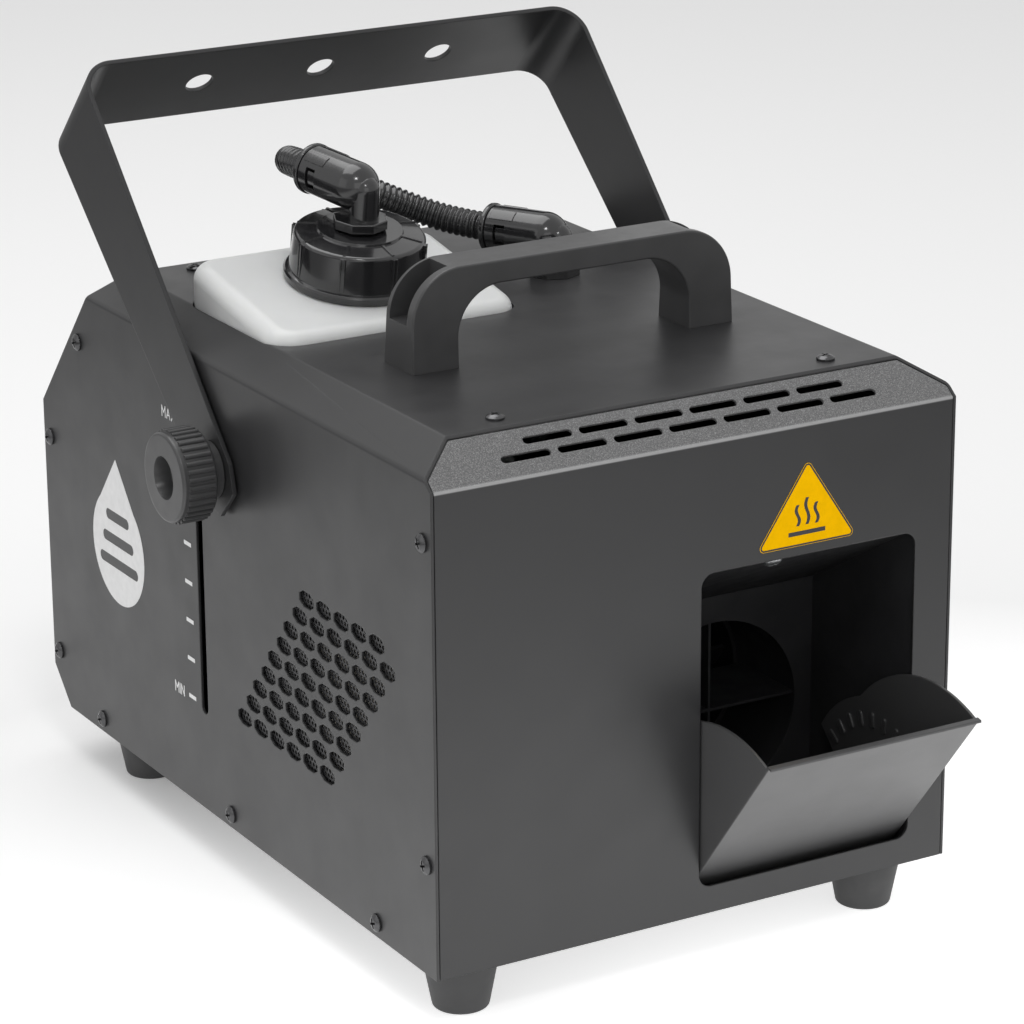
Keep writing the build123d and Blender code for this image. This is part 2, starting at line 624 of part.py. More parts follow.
# ---- handle ------------------------------------------------------------------------------------
def handle():
    """Moulded carrying handle, a little narrower towards the top, with two screw pockets."""
    y0, y1 = HANDLE_Y
    ends, front, back = HANDLE_DRAFT
    top = H + HANDLE_H
    outer = prism_y([(-HANDLE_HALF, H), (HANDLE_HALF, H), (HANDLE_HALF - ends, top),
                     (ends - HANDLE_HALF, top)], y0, y1)
    tops = [e for e in outer.edges().filter_by(Axis.Y) if e.center().Z > H + 10]
    outer = fillet(tops, HANDLE_R)
    reach = HANDLE_HALF - HANDLE_LEG
    arch = block(-reach, reach, y0 - 1, y1 + 1, H - 20, top - HANDLE_BAR)
    arch_tops = [e for e in arch.edges().filter_by(Axis.Y) if e.center().Z > H + 10]
    body = outer - fillet(arch_tops, HANDLE_R - 2)
    body &= prism_x([(y0, H), (y1, H), (y1 - back, top), (y0 + front, top)],
                    -HANDLE_HALF - 1, HANDLE_HALF + 1)
    middle = (y0 + y1) / 2
    rims = [e for e in body.edges() if e.center().Z > H + 2 and abs(e.center().Y - middle) > 9]
    body = fillet(rims, 0.8)
    sx, sy = HANDLE_SCREW
    for side in (-1, 1):
        a, b = sorted((side * (HANDLE_HALF - POCKET_IN), side * (HANDLE_HALF + 6)))
        body -= block(a, b, *POCKET_Y, H + POCKET_FLOOR, H + 60)
        body -= rod((side * sx, sy, H - 1), (side * sx, sy, H + 30), SCREW_HOLE_R)
    keep("handle", body)
    floor = H + POCKET_FLOOR
    keep("handle_screws", group(pan_screw((s * sx, sy, floor), (0, 0, 1), POCKET_FLOOR + 9)
                                for s in (-1, 1)))
    nuts = []
    for s in (-1, 1):
        nut = extrude(RegularPolygon(4.6, 6), amount=4.4) - Cylinder(SCREW_HOLE_R - 0.05, 20)
        nuts.append(Pos(s * sx, sy, H - SHEET - 4.6) * nut)
    keep("handle_nuts", group(nuts))


# ---- tank and fittings -------------------------------------------------------------------------
def neck_frame():
    """Plane square to the filler neck, at the cap's underside."""
    tilt = radians(TANK_TILT)
    return Plane(origin=NECK, x_dir=(1, 0, 0), z_dir=(0, -sin(tilt), cos(tilt)))


def tank_block(inset):
    """Solid tank body with rounded edges, moved in by `inset`."""
    x0, x1 = TANK_X
    y0, y1 = TANK_Y
    rise = tan(radians(TANK_TILT)) * (y1 - y0)
    z1 = TANK_FRONT_Z
    points = [(y0 + inset, TANK_Z0 + inset), (y0 + inset, z1 - inset),
              (y1 - inset, z1 + rise - inset), (y1 - inset, TANK_Z0 + inset)]
    solid = prism_x(points, x0 + inset, x1 - inset)
    solid = fillet(solid.edges().filter_by(Axis.Z), TANK_R - inset)
    lid = [e for e in solid.edges() if e.center().Z > z1 - 8]
    solid = fillet(lid, 7.0 - inset * 0.6)
    foot = [e for e in solid.edges() if e.center().Z < TANK_Z0 + inset + 0.5]
    return fillet(foot, 5.0 - inset * 0.6)


def fluid_tank():
    """Blow-moulded tank with its sloping shoulder and filler neck."""
    frame = neck_frame()
    neck = Cylinder(NECK_R, NECK_H + 4, align=UPWARD)
    bore = Cylinder(NECK_BORE, 40, align=UPWARD)
    tank = tank_block(0) + frame * Pos(0, 0, -4) * neck
    tank -= tank_block(TANK_WALL)
    tank -= frame * Pos(0, 0, -16) * bore
    for z in (5.0, 10.5):
        ring = Cylinder(NECK_R + 0.7, 1.6) - Cylinder(NECK_R - 0.5, 3)
        tank += frame * Pos(0, 0, z) * ring
    keep("fluid_tank", tank)


def tank_tray():
    """Folded tray that carries the tank above the base plate."""
    x0, x1 = TANK_X
    y0, y1 = TANK_Y
    t = SHEET
    z = TANK_Z0 - 0.2
    tray = block(x0 + 4, x1 - 4, y0 + 4, y1 - 4, z - t, z)
    for x in (x0 + 4, x1 - 4 - t):
        tray += block(x, x + t, y0 + 4, y1 - 4, SHEET + 0.05, z)
    keep("tank_tray", tray)


def tank_cap():
    """Screw cap with a flanged foot and eight ribs, bored for the elbow."""
    rim_r, rim_h = CAP_RIM
    wall_r, wall_h = CAP_WALL_TOP
    ring_r, ring_h = CAP_RING
    step = ring_h - 1.1
    outline = Polyline((rim_r, 0, rim_h), (ring_r + 0.4, 0, step), (ring_r, 0, ring_h),
                       (CAP_BORE_R, 0, ring_h), (CAP_BORE_R, 0, CAP_ROOF),
                       (NECK_R + 1.1, 0, CAP_ROOF), (NECK_R + 1.1, 0, 0.3),
                       (CAP_FLANGE_R - 0.8, 0, 0.3), (CAP_FLANGE_R, 0, 1.1),
                       (CAP_FLANGE_R, 0, 3.4), (CAP_FLANGE_R - 0.8, 0, 4.2),
                       (CAP_R, 0, 4.6), (wall_r, 0, wall_h))
    shoulder = ThreePointArc((wall_r, 0, wall_h), (wall_r - 0.5, 0, wall_h + 1.3),
                             (rim_r, 0, rim_h))
    cap = revolve(make_face([*outline.edges(), shoulder]), Axis.Z)
    rib_side = Pos(CAP_R - 0.9, 0, 3.8) * Box(1.9, 2.6, wall_h - 3.0, align=UPWARD)
    groove = Pos(CAP_R + 0.2, 0, 5.0) * Box(1.0, 1.0, wall_h, align=UPWARD)
    fall = degrees(atan2(step - rim_h, rim_r - ring_r))
    rib_top = Pos((rim_r + ring_r) / 2, 0, (rim_h + step) / 2) * Rot(0, fall, 0)
    rib_top *= Box(rim_r - ring_r + 1.6, 1.1, 1.0)
    for i in range(CAP_RIBS):
        turn = Rot(0, 0, 360 / CAP_RIBS * i - 87)
        cap += turn * (rib_side - groove)
        cap += turn * rib_top
    keep("tank_cap", neck_frame() * cap)


def elbow_shape(turn):
    """Elbow fitting with its base at the origin and its arm along +Y.

    The base stays square to the housing when the arm is turned by `turn` degrees.
    """
    rise = FITTING_RISE
    leg = -FITTING_LEG_BACK
    base_r, base_h = FITTING_BASE
    neck_end = FITTING_NECK + 1.2
    stub = 9.0
    body = Rot(0, 0, -turn) * extrude(RegularPolygon(base_r, 8), amount=base_h)
    body = fillet(body.edges().sort_by(Axis.Z)[-8:], 0.6)
    body += rod((0, leg, 1), (0, leg, rise), FITTING_LEG_R)
    body += Pos(0, leg, rise) * Sphere(FITTING_LEG_R)
    body += Pos(0, FITTING_HEAD, rise) * Sphere(FITTING_ARM_R)
    body += rod((0, FITTING_HEAD, rise), (0, FITTING_NECK, rise), FITTING_ARM_R)
    body += rod((0, FITTING_NECK - 0.5, rise), (0, neck_end, rise), FITTING_ARM_R - 0.9)
    body += rod((0, 0, -stub), (0, 0, 1), FITTING_LEG_R - 0.2)
    body -= rod((0, 0, -stub - 1), (0, 0, 2), FITTING_BORE_R)
    body -= rod((0, leg, 1), (0, leg, rise), FITTING_BORE_R)
    body -= rod((0, leg, rise), (0, HOSE_GRIP, rise), FITTING_BORE_R)
    body -= rod((0, HOSE_GRIP - 1, rise), (0, FITTING_ARM + 5, rise), HOSE_R + 0.1)
    y0, y1 = FITTING_WINDOW
    inner, outer = FITTING_ARM_R - 5, FITTING_ARM_R + 3
    latch = tube((0, y0, rise), (0, y1 - 0.8, rise), FITTING_ARM_R - 0.8, HOSE_R + 0.3)
    for side in (-1, 1):
        a, b = sorted((side * inner, side * outer))
        body -= block(a, b, y0, y1, rise - 4.5, rise + 4.5)
        body += block(a, b, y0, y1, rise - 3, rise + 3) & latch
    bar = tube((0, y0 - 5, rise), (0, y1 + 3, rise), FITTING_ARM_R + 0.35, FITTING_ARM_R - 1)
    for tilt in (52, 128):
        place = Pos(0, (y0 + y1) / 2, rise) * Rot(0, -tilt, 0) * Pos(10, 0, 0)
        body += bar & (place * Box(6, 12, 5.2))
    return body


def collar_shape():
    """Locking collar at the fitting's mouth."""
    rise = FITTING_RISE
    start = FITTING_NECK + 0.6
    collar = tube((0, start, rise), (0, FITTING_ARM, rise), FITTING_ARM_R + 0.6, HOSE_R + 0.15)
    collar = fillet(collar.edges().filter_by(GeomType.CIRCLE).sort_by(Edge.radius)[-2:], 0.9)
    return collar - rod((0, start - 0.1, rise), (0, start + 0.65, rise), FITTING_ARM_R - 0.85)


def cap_fitting_frame():
    """Frame of the elbow on the cap, leaning a little less than the neck."""
    height, lean = CAP_FITTING
    foot = (neck_frame() * Pos(0, 0, height)).position
    tilt = radians(lean)
    plane = Plane(origin=foot, x_dir=(1, 0, 0), z_dir=(0, -sin(tilt), cos(tilt)))
    return plane * Rot(0, 0, CAP_ARM_TURN)


def inlet_fitting_frame():
    """Frame of the elbow on the housing's top."""
    return Pos(*INLET_AT, H + 0.05) * Rot(0, 0, INLET_ARM_TURN)


def fittings():
    """Both elbows, their collars, the gland nut and the pick-up line."""
    keep("cap_elbow", cap_fitting_frame() * elbow_shape(CAP_ARM_TURN))
    nut = extrude(RegularPolygon(11.0, 6), amount=4.0) - Cylinder(FITTING_LEG_R - 0.15, 20)
    nut = Pos(*INLET_AT, H - SHEET - 4.2) * nut
    keep("inlet_elbow", group([inlet_fitting_frame() * elbow_shape(INLET_ARM_TURN), nut]))
    keep("hose_collars", group([cap_fitting_frame() * collar_shape(),
                                inlet_fitting_frame() * collar_shape()]))
    foot = -PICKUP_LEN
    line = tube((0, 0, foot), (0, 0, -9.1), 4.0, 2.6)
    strainer = tube((0, 0, foot - 11), (0, 0, foot + 5), 6.6, 4.02)
    strainer += rod((0, 0, foot - 12), (0, 0, foot - 10.9), 6.6)
    keep("pickup_line", group([cap_fitting_frame() * line, cap_fitting_frame() * strainer]))


def along_arm(frame, distance):
    """Point on a fitting's arm axis, at a distance from its base's middle."""
    return (frame * Pos(0, distance, FITTING_RISE)).position


def hose_route():
    """Points of the fluid hose's path, from the inlet elbow to the cap elbow."""
    start, leave = (along_arm(inlet_fitting_frame(), d) for d in (HOSE_GRIP + 3, 47.0))
    end, arrive = (along_arm(cap_fitting_frame(), d) for d in (HOSE_GRIP + 3, 38.0))
    loop = [Vector(13.5, 261.5, 243.0), Vector(-8.0, 266.0, 253.5), Vector(-32.0, 268.5, 264.0),
            Vector(-52.0, 259.5, 274.5)]
    return [start, leave, *loop, arrive, end]


def fluid_hose():
    """Hose between the two elbows: straight ends joined by tangent arcs."""
    points = hose_route()
    radii = []
    for a, b, c in zip(points, points[1:], points[2:]):
        turn = radians((b - a).get_angle(c - b))
        run = min((b - a).length, (c - b).length)
        radii.append(0.45 * run / tan(turn / 2))
    print("hose arc radii", [round(r, 1) for r in radii])
    path = FilletPolyline(*points, radius=radii)
    ends = Plane(origin=points[0], z_dir=points[1] - points[0])
    ring = ends * (Circle(HOSE_R) - Circle(HOSE_BORE_R))
    hose = sweep(ring, path=path)
    section = pi * (HOSE_R ** 2 - HOSE_BORE_R ** 2)
    print("hose length", round(path.length, 1), "volume ratio",
          round(hose.volume / (section * path.length), 4))
    keep("fluid_hose", hose)


# ---- yoke --------------------------------------------------------------------------------------
def yoke_frame():
    """Frame of the yoke: origin on its pivot, Z along its arms."""
    return Pos(0, *PIVOT) * Rot(-YOKE_TILT, 0, 0)


def yoke():
    """Bent steel strip: two tapering arms and a top bar with three holes."""
    out = YOKE_IN + YOKE_T
    low = -18.0
    outer = prism_y([(-out, low), (-out, YOKE_LEN), (out, YOKE_LEN), (out, low)], -30, 30)
    outer = fillet([e for e in outer.edges().filter_by(Axis.Y) if e.center().Z > 50], YOKE_BEND_R)
    inner = prism_y([(-YOKE_IN, low - 5), (-YOKE_IN, YOKE_LEN - YOKE_T),
                     (YOKE_IN, YOKE_LEN - YOKE_T), (YOKE_IN, low - 5)], -31, 31)
    corners = [e for e in inner.edges().filter_by(Axis.Y) if e.center().Z > 50]
    inner = fillet(corners, YOKE_BEND_R - YOKE_T)
    a, b = YOKE_HALF_TOP, YOKE_HALF_PIVOT
    taper = prism_x([(-a, YOKE_LEN + 1), (-b, -7), (-9, low), (9, low), (b, -7),
                     (a, YOKE_LEN + 1)], -out - 1, out + 1)
    shape = (outer - inner) & taper
    for i in (-1, 0, 1):
        x = i * YOKE_HOLE_PITCH
        shape -= rod((x, 0, YOKE_LEN - 5), (x, 0, YOKE_LEN + 3), YOKE_HOLE_R)
    shape -= rod((-out - 5, 0, 0), (out + 5, 0, 0), STUD_R + RUNNING)
    keep("yoke", yoke_frame() * shape)


def knob_shape():
    """Clamping knob along +Z: hub, ridged rim and a recessed face."""
    hub, rim, face = (k - KNOB_X[0] for k in KNOB_X)
    body = Cylinder(KNOB_HUB_R, rim + 1, align=UPWARD)
    grip = Pos(0, 0, rim) * Cylinder(KNOB_R - 1.0, face - rim,
                                     align=UPWARD)
    ends = grip.edges().filter_by(GeomType.CIRCLE)
    grip = fillet(ends, 1.4)
    for i in range(KNOB_RIDGES):
        ridge = Pos(KNOB_R - 1.1, 0, rim + 1.6) * Cylinder(1.1, face - rim - 4.4,
                                                        align=UPWARD)
        grip += Rot(0, 0, 360 / KNOB_RIDGES * i) * ridge
    body += grip
    recess = Cone(7.6, 9.4, 7.0, align=UPWARD)
    body -= Pos(0, 0, face - 7.0) * recess
    body -= Cylinder(STUD_R, hub + 9.0, align=UPWARD)
    return body


def yoke_hardware():
    """Knobs with their studs, washers against the cover and the riveted nuts inside it."""
    washers = []
    nuts = []
    for side, name in ((-1, "left"), (1, "right")):
        place = Plane(origin=(side * KNOB_X[0], *PIVOT), x_dir=(0, 0, 1), z_dir=(side, 0, 0))
        keep(f"knob_{name}", place * knob_shape())
        stud = rod((side * (W / 2 - 14), *PIVOT), (side * (KNOB_X[0] + 9.0), *PIVOT), STUD_R)
        keep(f"knob_stud_{name}", stud)
        face = side * W / 2
        washers.append(tube((face + side * 0.02, *PIVOT), (face + side * 1.0, *PIVOT), 12.0, 6.0))
        nut = tube((face - side * 13, *PIVOT), (face - side * 0.1, *PIVOT), 6.5, STUD_R + RUNNING)
        inner = face - side * SHEET
        nut += tube((inner - side * 2.0, *PIVOT), (inner - side * 0.05, *PIVOT), 9.0, 6.0)
        nuts.append(nut)
    keep("yoke_washers", group(washers))
    keep("yoke_rivet_nuts", group(nuts))


# ---- inside ------------------------------------------------------------------------------------
def fog_heater():
    """Heater block with its coil pipe, insulation and bracket, and the fog nozzle."""
    block_x, block_y, block_z = (-98.0, -32.0), (26.0, 146.0), (40.0, 96.0)
    heater = block(*block_x, *block_y, *block_z)
    heater = fillet(heater.edges().filter_by(Axis.Y), 4)
    for x in (-84, -46):
        heater -= rod((x, 25, 56), (x, 130, 56), 5)
    keep("heater_block", heater)
    g = 0.3
    wrap = block(block_x[0] - 7, block_x[1] + 7, 52, 131, block_z[0] - 7, block_z[1] + 7)
    wrap = fillet(wrap.edges().filter_by(Axis.Y), 8)
    hollow = block(block_x[0] - g, block_x[1] + g, 51, 132, block_z[0] - g, block_z[1] + g)
    wrap -= fillet(hollow.edges().filter_by(Axis.Y), 4)
    keep("heater_insulation", wrap)
    brackets = []
    for y in (32, 138):
        rail = block(-104, -26, y - 1.2, y + 1.2, SHEET + 0.05, 39.8)
        rail -= block(-90, -40, y - 3, y + 3, 10, 32)
        rail += block(-104, -26, y - 6, y + 6, 38.6, 39.8)
        brackets.append(rail)
    nozzle = tube((-32.0, 40, 74), (DUCT_X[0] + 0.4, 40, 74), 6.0, 1.6)
    nozzle += tube((-26, 40, 74), (-18, 40, 74), 9.0, 1.6)
    keep("fog_nozzle", nozzle)
    elements = [rod((x, 14, 56), (x, 128, 56), 4.9) for x in (-84, -46)]
    keep("heater_elements", group(elements))
    return brackets


def pump_unit():
    """Solenoid pump on its bracket, with the pipe to the heater and the feed line."""
    x, y, z = 62.0, 216.0, 34.0
    pump = rod((x, y - 30, z), (x, y + 22, z), 15)
    pump += block(x - 17, x + 17, y - 12, y + 14, z - 18, z + 18)
    pump += rod((x, y + 21, z), (x, y + 36, z), 5) + rod((x, y - 44, z), (x, y - 29, z), 5)
    keep("fluid_pump", pump)
    bracket = block(x - 22, x + 22, y - 8, y + 10, SHEET + 0.05, SHEET + 1.5)
    for side in (-1, 1):
        a, b = sorted((x + side * 17.2, x + side * 18.8))
        bracket += block(a, b, y - 8, y + 10, SHEET + 0.05, z + 12)
    behind = 158.0
    pipe = [Vector(*p) for p in ((x, y - 44.2, z), (x, behind, z), (-62.0, behind, z),
                                 (-62.0, behind, 68.0), (-62.0, 146.2, 68.0))]
    ring = Plane(origin=pipe[0], z_dir=pipe[1] - pipe[0]) * (Circle(2.5) - Circle(1.6))
    keep("heater_pipe", sweep(ring, path=FilletPolyline(*pipe, radius=8.0)))
    feed = [Vector(*p) for p in ((*INLET_AT, H - 9.2), (*INLET_AT, 150.0), (x, 272.0, 110.0),
                                 (x, 272.0, z), (x, y + 36.3, z))]
    feed_ring = Plane(origin=feed[0], z_dir=(0, 0, -1)) * (Circle(3.5) - Circle(2.2))
    path = FilletPolyline(*feed, radius=[30.0, 20.0, 12.0])
    keep("pump_feed_line", sweep(feed_ring, path=path))
    return [bracket]


def electronics():
    """Control board behind the sloped panel and the power board on the base."""
    board = block(-60, 40, 276, 340, 20, 21.6)
    for x, y, dx, dy, h in ((-48, 284, 30, 22, 24), (-10, 286, 16, 30, 14), (14, 290, 18, 18, 20),
                            (-46, 316, 22, 16, 12), (-12, 322, 40, 12, 10)):
        board += block(x, x + dx, y, y + dy, 21.6, 21.6 + h)
    keep("power_board", board)
    posts = []
    for x in (-56, 36):
        for y in (280, 336):
            posts.append(rod((x, y, SHEET + 0.05), (x, y, 19.95), 3))
    frame = control_frame()
    card = Box(104, 66, 1.6)
    display = Box(DISPLAY[0] + 6, DISPLAY[1] + 6, 2.4)
    keep("control_board", frame * Pos(0, 48, -8.4) * card)
    keep("display_window", frame * Pos(0, DISPLAY_UP, -SHEET - 1.3) * display)
    return posts


def vent_screens():
    """Perforated steel screens behind the side vents."""
    centres = list(vent_centres())
    y0 = min(y for y, _ in centres) - 9
    y1 = max(y for y, _ in centres) + 9
    z0 = min(z for _, z in centres) - 7
    z1 = max(z for _, z in centres) + 7
    screens = []
    for side in (-1, 1):
        outer = side * (W / 2 - SHEET - 0.4)
        a, b = sorted((outer, outer - side * 0.6))
        screens.append(block(a, b, y0, y1, z0, z1))
    keep("vent_screens", group(screens))


LETTERS = {"M": [(0, 0, 0, 6), (0, 6, 2.2, 2.4), (2.2, 2.4, 4.4, 6), (4.4, 6, 4.4, 0)],
           "I": [(0, 0, 0, 6)],
           "N": [(0, 0, 0, 6), (0, 6, 3.8, 0), (3.8, 0, 3.8, 6)],
           "A": [(0, 0, 2.2, 6), (2.2, 6, 4.4, 0), (1.0, 2.1, 3.4, 2.1)],
           "X": [(0, 0, 4.0, 6), (0, 6, 4.0, 0)]}
LETTER_WIDTHS = {"M": 4.4, "I": 0.0, "N": 3.8, "A": 4.4, "X": 4.0}
STROKE = 0.8
LETTER_SCALE = 0.75


def lettering(word):
    """Word from straight strokes, as one flat drawing starting at its left edge."""
    drawing = Sketch()
    x = 0.0
    for letter in word:
        for x0, y0, x1, y1 in LETTERS[letter]:
            length = hypot(x1 - x0, y1 - y0)
            bar = Rectangle(length + STROKE, STROKE)
            turn = degrees(atan2(y1 - y0, x1 - x0))
            drawing += Pos(x + (x0 + x1) / 2, (y0 + y1) / 2) * Rot(0, 0, turn) * bar
        x += LETTER_WIDTHS[letter] + 1.8
    return scale(drawing, LETTER_SCALE)


def markings():
    """Printed level scale, hot-surface mark and maker-neutral badge."""
    x = -W / 2 - 0.12
    ticks = []
    for i in range(8):
        z = 49.4 + 17.83 * i
        ticks.append(block(x, -W / 2 - 0.01, 214.8, 221.7, z - 0.9, z + 0.9))
    for word, y, z in (("MIN", 235.5, 47.2), ("MAX", 239.5, 173.4)):
        frame = Plane(origin=(-W / 2 - 0.01, y, z), x_dir=(0, -1, 0), z_dir=(-1, 0, 0))
        ticks += [frame * extrude(face, amount=0.11) for face in lettering(word).faces()]
    keep("level_scale", group(ticks))
    badge_frame = Plane(origin=(-W / 2 - 0.01, 291.0, 103.0), x_dir=(0, -1, 0), z_dir=(-1, 0, 0))
    drop = Circle(27.0) + make_face(Polyline((-23.6, 13.0), (0, 42.0), (23.6, 13.0), close=True))
    drop = Pos(0, -6) * drop
    for i in range(3):
        line = SlotOverall(40.0 - 8 * i, 5.0)
        drop -= Pos(0, -14 + 11.0 * i) * line
    keep("side_badge", badge_frame * extrude(drop, amount=0.11))
    mark_frame = Plane(origin=(50.6, -0.01, 166.0), x_dir=(1, 0, 0), z_dir=(0, -1, 0))
    corners = [(-24.6, -12.9), (24.6, -12.9), (0, 23.6)]
    triangle = fillet(make_face(Polyline(*corners, close=True)).vertices(), 2.0)
    keep("hot_surface_mark", mark_frame * extrude(triangle, amount=0.12))


# ---- rear fittings -----------------------------------------------------------------------------
def rear_fittings():
    """Mains inlet, fuse holder, power switch, data sockets and control buttons."""
    mx, mz = MAINS_AT
    inlet = block(mx - 24, mx + 24, D, D + 2.5, mz - 15, mz + 15)
    inlet = fillet(inlet.edges().filter_by(Axis.Y), 5)
    inlet += block(mx - 13.8, mx + 13.8, D - 20, D + REAR_REACH - D, mz - 11.8, mz + 11.8)
    inlet -= block(mx - 12, mx + 12, D - 14, D + 6, mz - 10, mz + 8)
    for dx, dz in ((-6.5, -2.5), (6.5, -2.5), (0, 3.0)):
        inlet += block(mx + dx - 0.9, mx + dx + 0.9, D - 15, D - 1, mz + dz - 2, mz + dz + 2)
    keep("mains_inlet", inlet)
    fx, fz = FUSE_AT
    holder = rod((fx, D - 22, fz), (fx, D + 1, fz), 6.0) + rod((fx, D, fz), (fx, D + 2, fz), 8.5)
    holder += rod((fx, D + 2, fz), (fx, D + 4.4, fz), 6.4)
    holder -= block(fx - 4.5, fx + 4.5, D + 3.2, D + 6, fz - 0.7, fz + 0.7)
    keep("fuse_holder", holder)
    sx, sz = SWITCH_AT
    frame = block(sx - 12, sx + 12, D, D + 1.6, sz - 9, sz + 9)
    frame += block(sx - 9.4, sx + 9.4, D - 16, D + 0.1, sz - 6.4, sz + 6.4)
    frame -= block(sx - 8.2, sx + 8.2, D - 9, D + 3, sz - 5.2, sz + 5.2)
    axle = ((sx, D - ROCKER_PIVOT, sz - 5.9), (sx, D - ROCKER_PIVOT, sz + 5.9))
    frame -= rod(*axle, ROCKER_AXLE_R + RUNNING)
    keep("switch_frame", frame)
    rocker = prism_y([(sx - 7.8, sz - 4.8), (sx + 7.8, sz - 4.8), (sx + 7.8, sz + 4.8),
                      (sx - 7.8, sz + 4.8)], D - 4.0, D + 2.2)
    rocker &= rod((sx, D - 12.0, sz - 10), (sx, D - 12.0, sz + 10), 14.6)
    rocker -= Pos(0, 9.4, 0) * rod((sx, D - 0.4, sz - 10), (sx, D - 0.4, sz + 10), 8.0)
    keep("power_rocker", rocker + rod(*axle, ROCKER_AXLE_R))
    sockets = []
    for x, z in SOCKETS_AT:
        socket = block(x - 13, x + 13, D, D + 2.0, z - 15.5, z + 15.5)
        socket = fillet(socket.edges().filter_by(Axis.Y), 3)
        socket += rod((x, D - 18, z), (x, D + REAR_REACH - D, z), SOCKET_R + 1.4)
        socket -= rod((x, D - 12, z), (x, D + 6, z), SOCKET_R)
        for turn in (90, 210, 330):
            px, pz = x + 4.2 * cos(radians(turn)), z + 4.2 * sin(radians(turn))
            socket += rod((px, D - 13, pz), (px, D - 1, pz), 1.2)
        sockets.append(socket)
    keep("data_sockets", group(sockets))
    panel = control_frame()
    for name, x in zip(BUTTON_NAMES, BUTTON_ROW):
        cap = Cylinder(BUTTON_R, 7.0, align=UPWARD)
        cap = fillet(cap.edges().sort_by(Axis.Z)[-1], 0.8)
        cap += Cylinder(BUTTON_R + 1.1, 1.0, align=UPWARD)
        keep(f"button_{name}", panel * Pos(x, BUTTON_UP, -4.6) * cap)


def build():
    """Make every piece."""
    cover()
    front_panel()
    base_plate()
    rear_panel()
    control_panel()
    feet()
    cover_screws()
    outlet_duct()
    air_tunnel()
    blower()
    outlet_flap()
    handle()
    fluid_tank()
    tank_tray()
    tank_cap()
    fittings()
    fluid_hose()
    yoke()
    yoke_hardware()
    keep("inner_brackets", group(fog_heater() + pump_unit() + electronics()))
    vent_screens()
    markings()
    rear_fittings()


build()
os.makedirs("parts", exist_ok=True)
for node, piece in PARTS.items():
    export_step(Pos(0, -ORIGIN_Y, FOOT_H) * piece, f"parts/{node}.step")
print(len(PARTS), "nodes, origin at y", ORIGIN_Y)
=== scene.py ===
import json
from math import cos, hypot, radians, sin, sqrt, tau

import bpy
from mathutils import Matrix, Vector


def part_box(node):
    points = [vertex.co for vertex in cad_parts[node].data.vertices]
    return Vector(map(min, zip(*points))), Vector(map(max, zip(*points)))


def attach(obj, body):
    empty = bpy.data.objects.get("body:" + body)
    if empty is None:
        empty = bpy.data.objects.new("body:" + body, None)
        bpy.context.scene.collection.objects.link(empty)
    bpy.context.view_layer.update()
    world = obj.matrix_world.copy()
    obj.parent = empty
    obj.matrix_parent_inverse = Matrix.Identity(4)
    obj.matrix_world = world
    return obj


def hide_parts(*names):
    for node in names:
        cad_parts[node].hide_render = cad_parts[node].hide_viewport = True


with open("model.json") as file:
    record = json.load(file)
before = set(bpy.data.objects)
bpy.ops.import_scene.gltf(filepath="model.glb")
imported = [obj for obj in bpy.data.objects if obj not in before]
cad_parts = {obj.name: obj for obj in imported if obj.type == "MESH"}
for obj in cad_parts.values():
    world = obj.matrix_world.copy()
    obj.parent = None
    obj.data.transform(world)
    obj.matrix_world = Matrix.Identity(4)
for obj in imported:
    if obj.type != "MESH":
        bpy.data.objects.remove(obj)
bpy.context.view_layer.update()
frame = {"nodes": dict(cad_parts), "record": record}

MM = 0.001
nodes = frame["nodes"]

TOP_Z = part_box("cover")[1][2]
FOLD_Z = TOP_Z - 15.7 * MM  # lower fold of the slotted slope


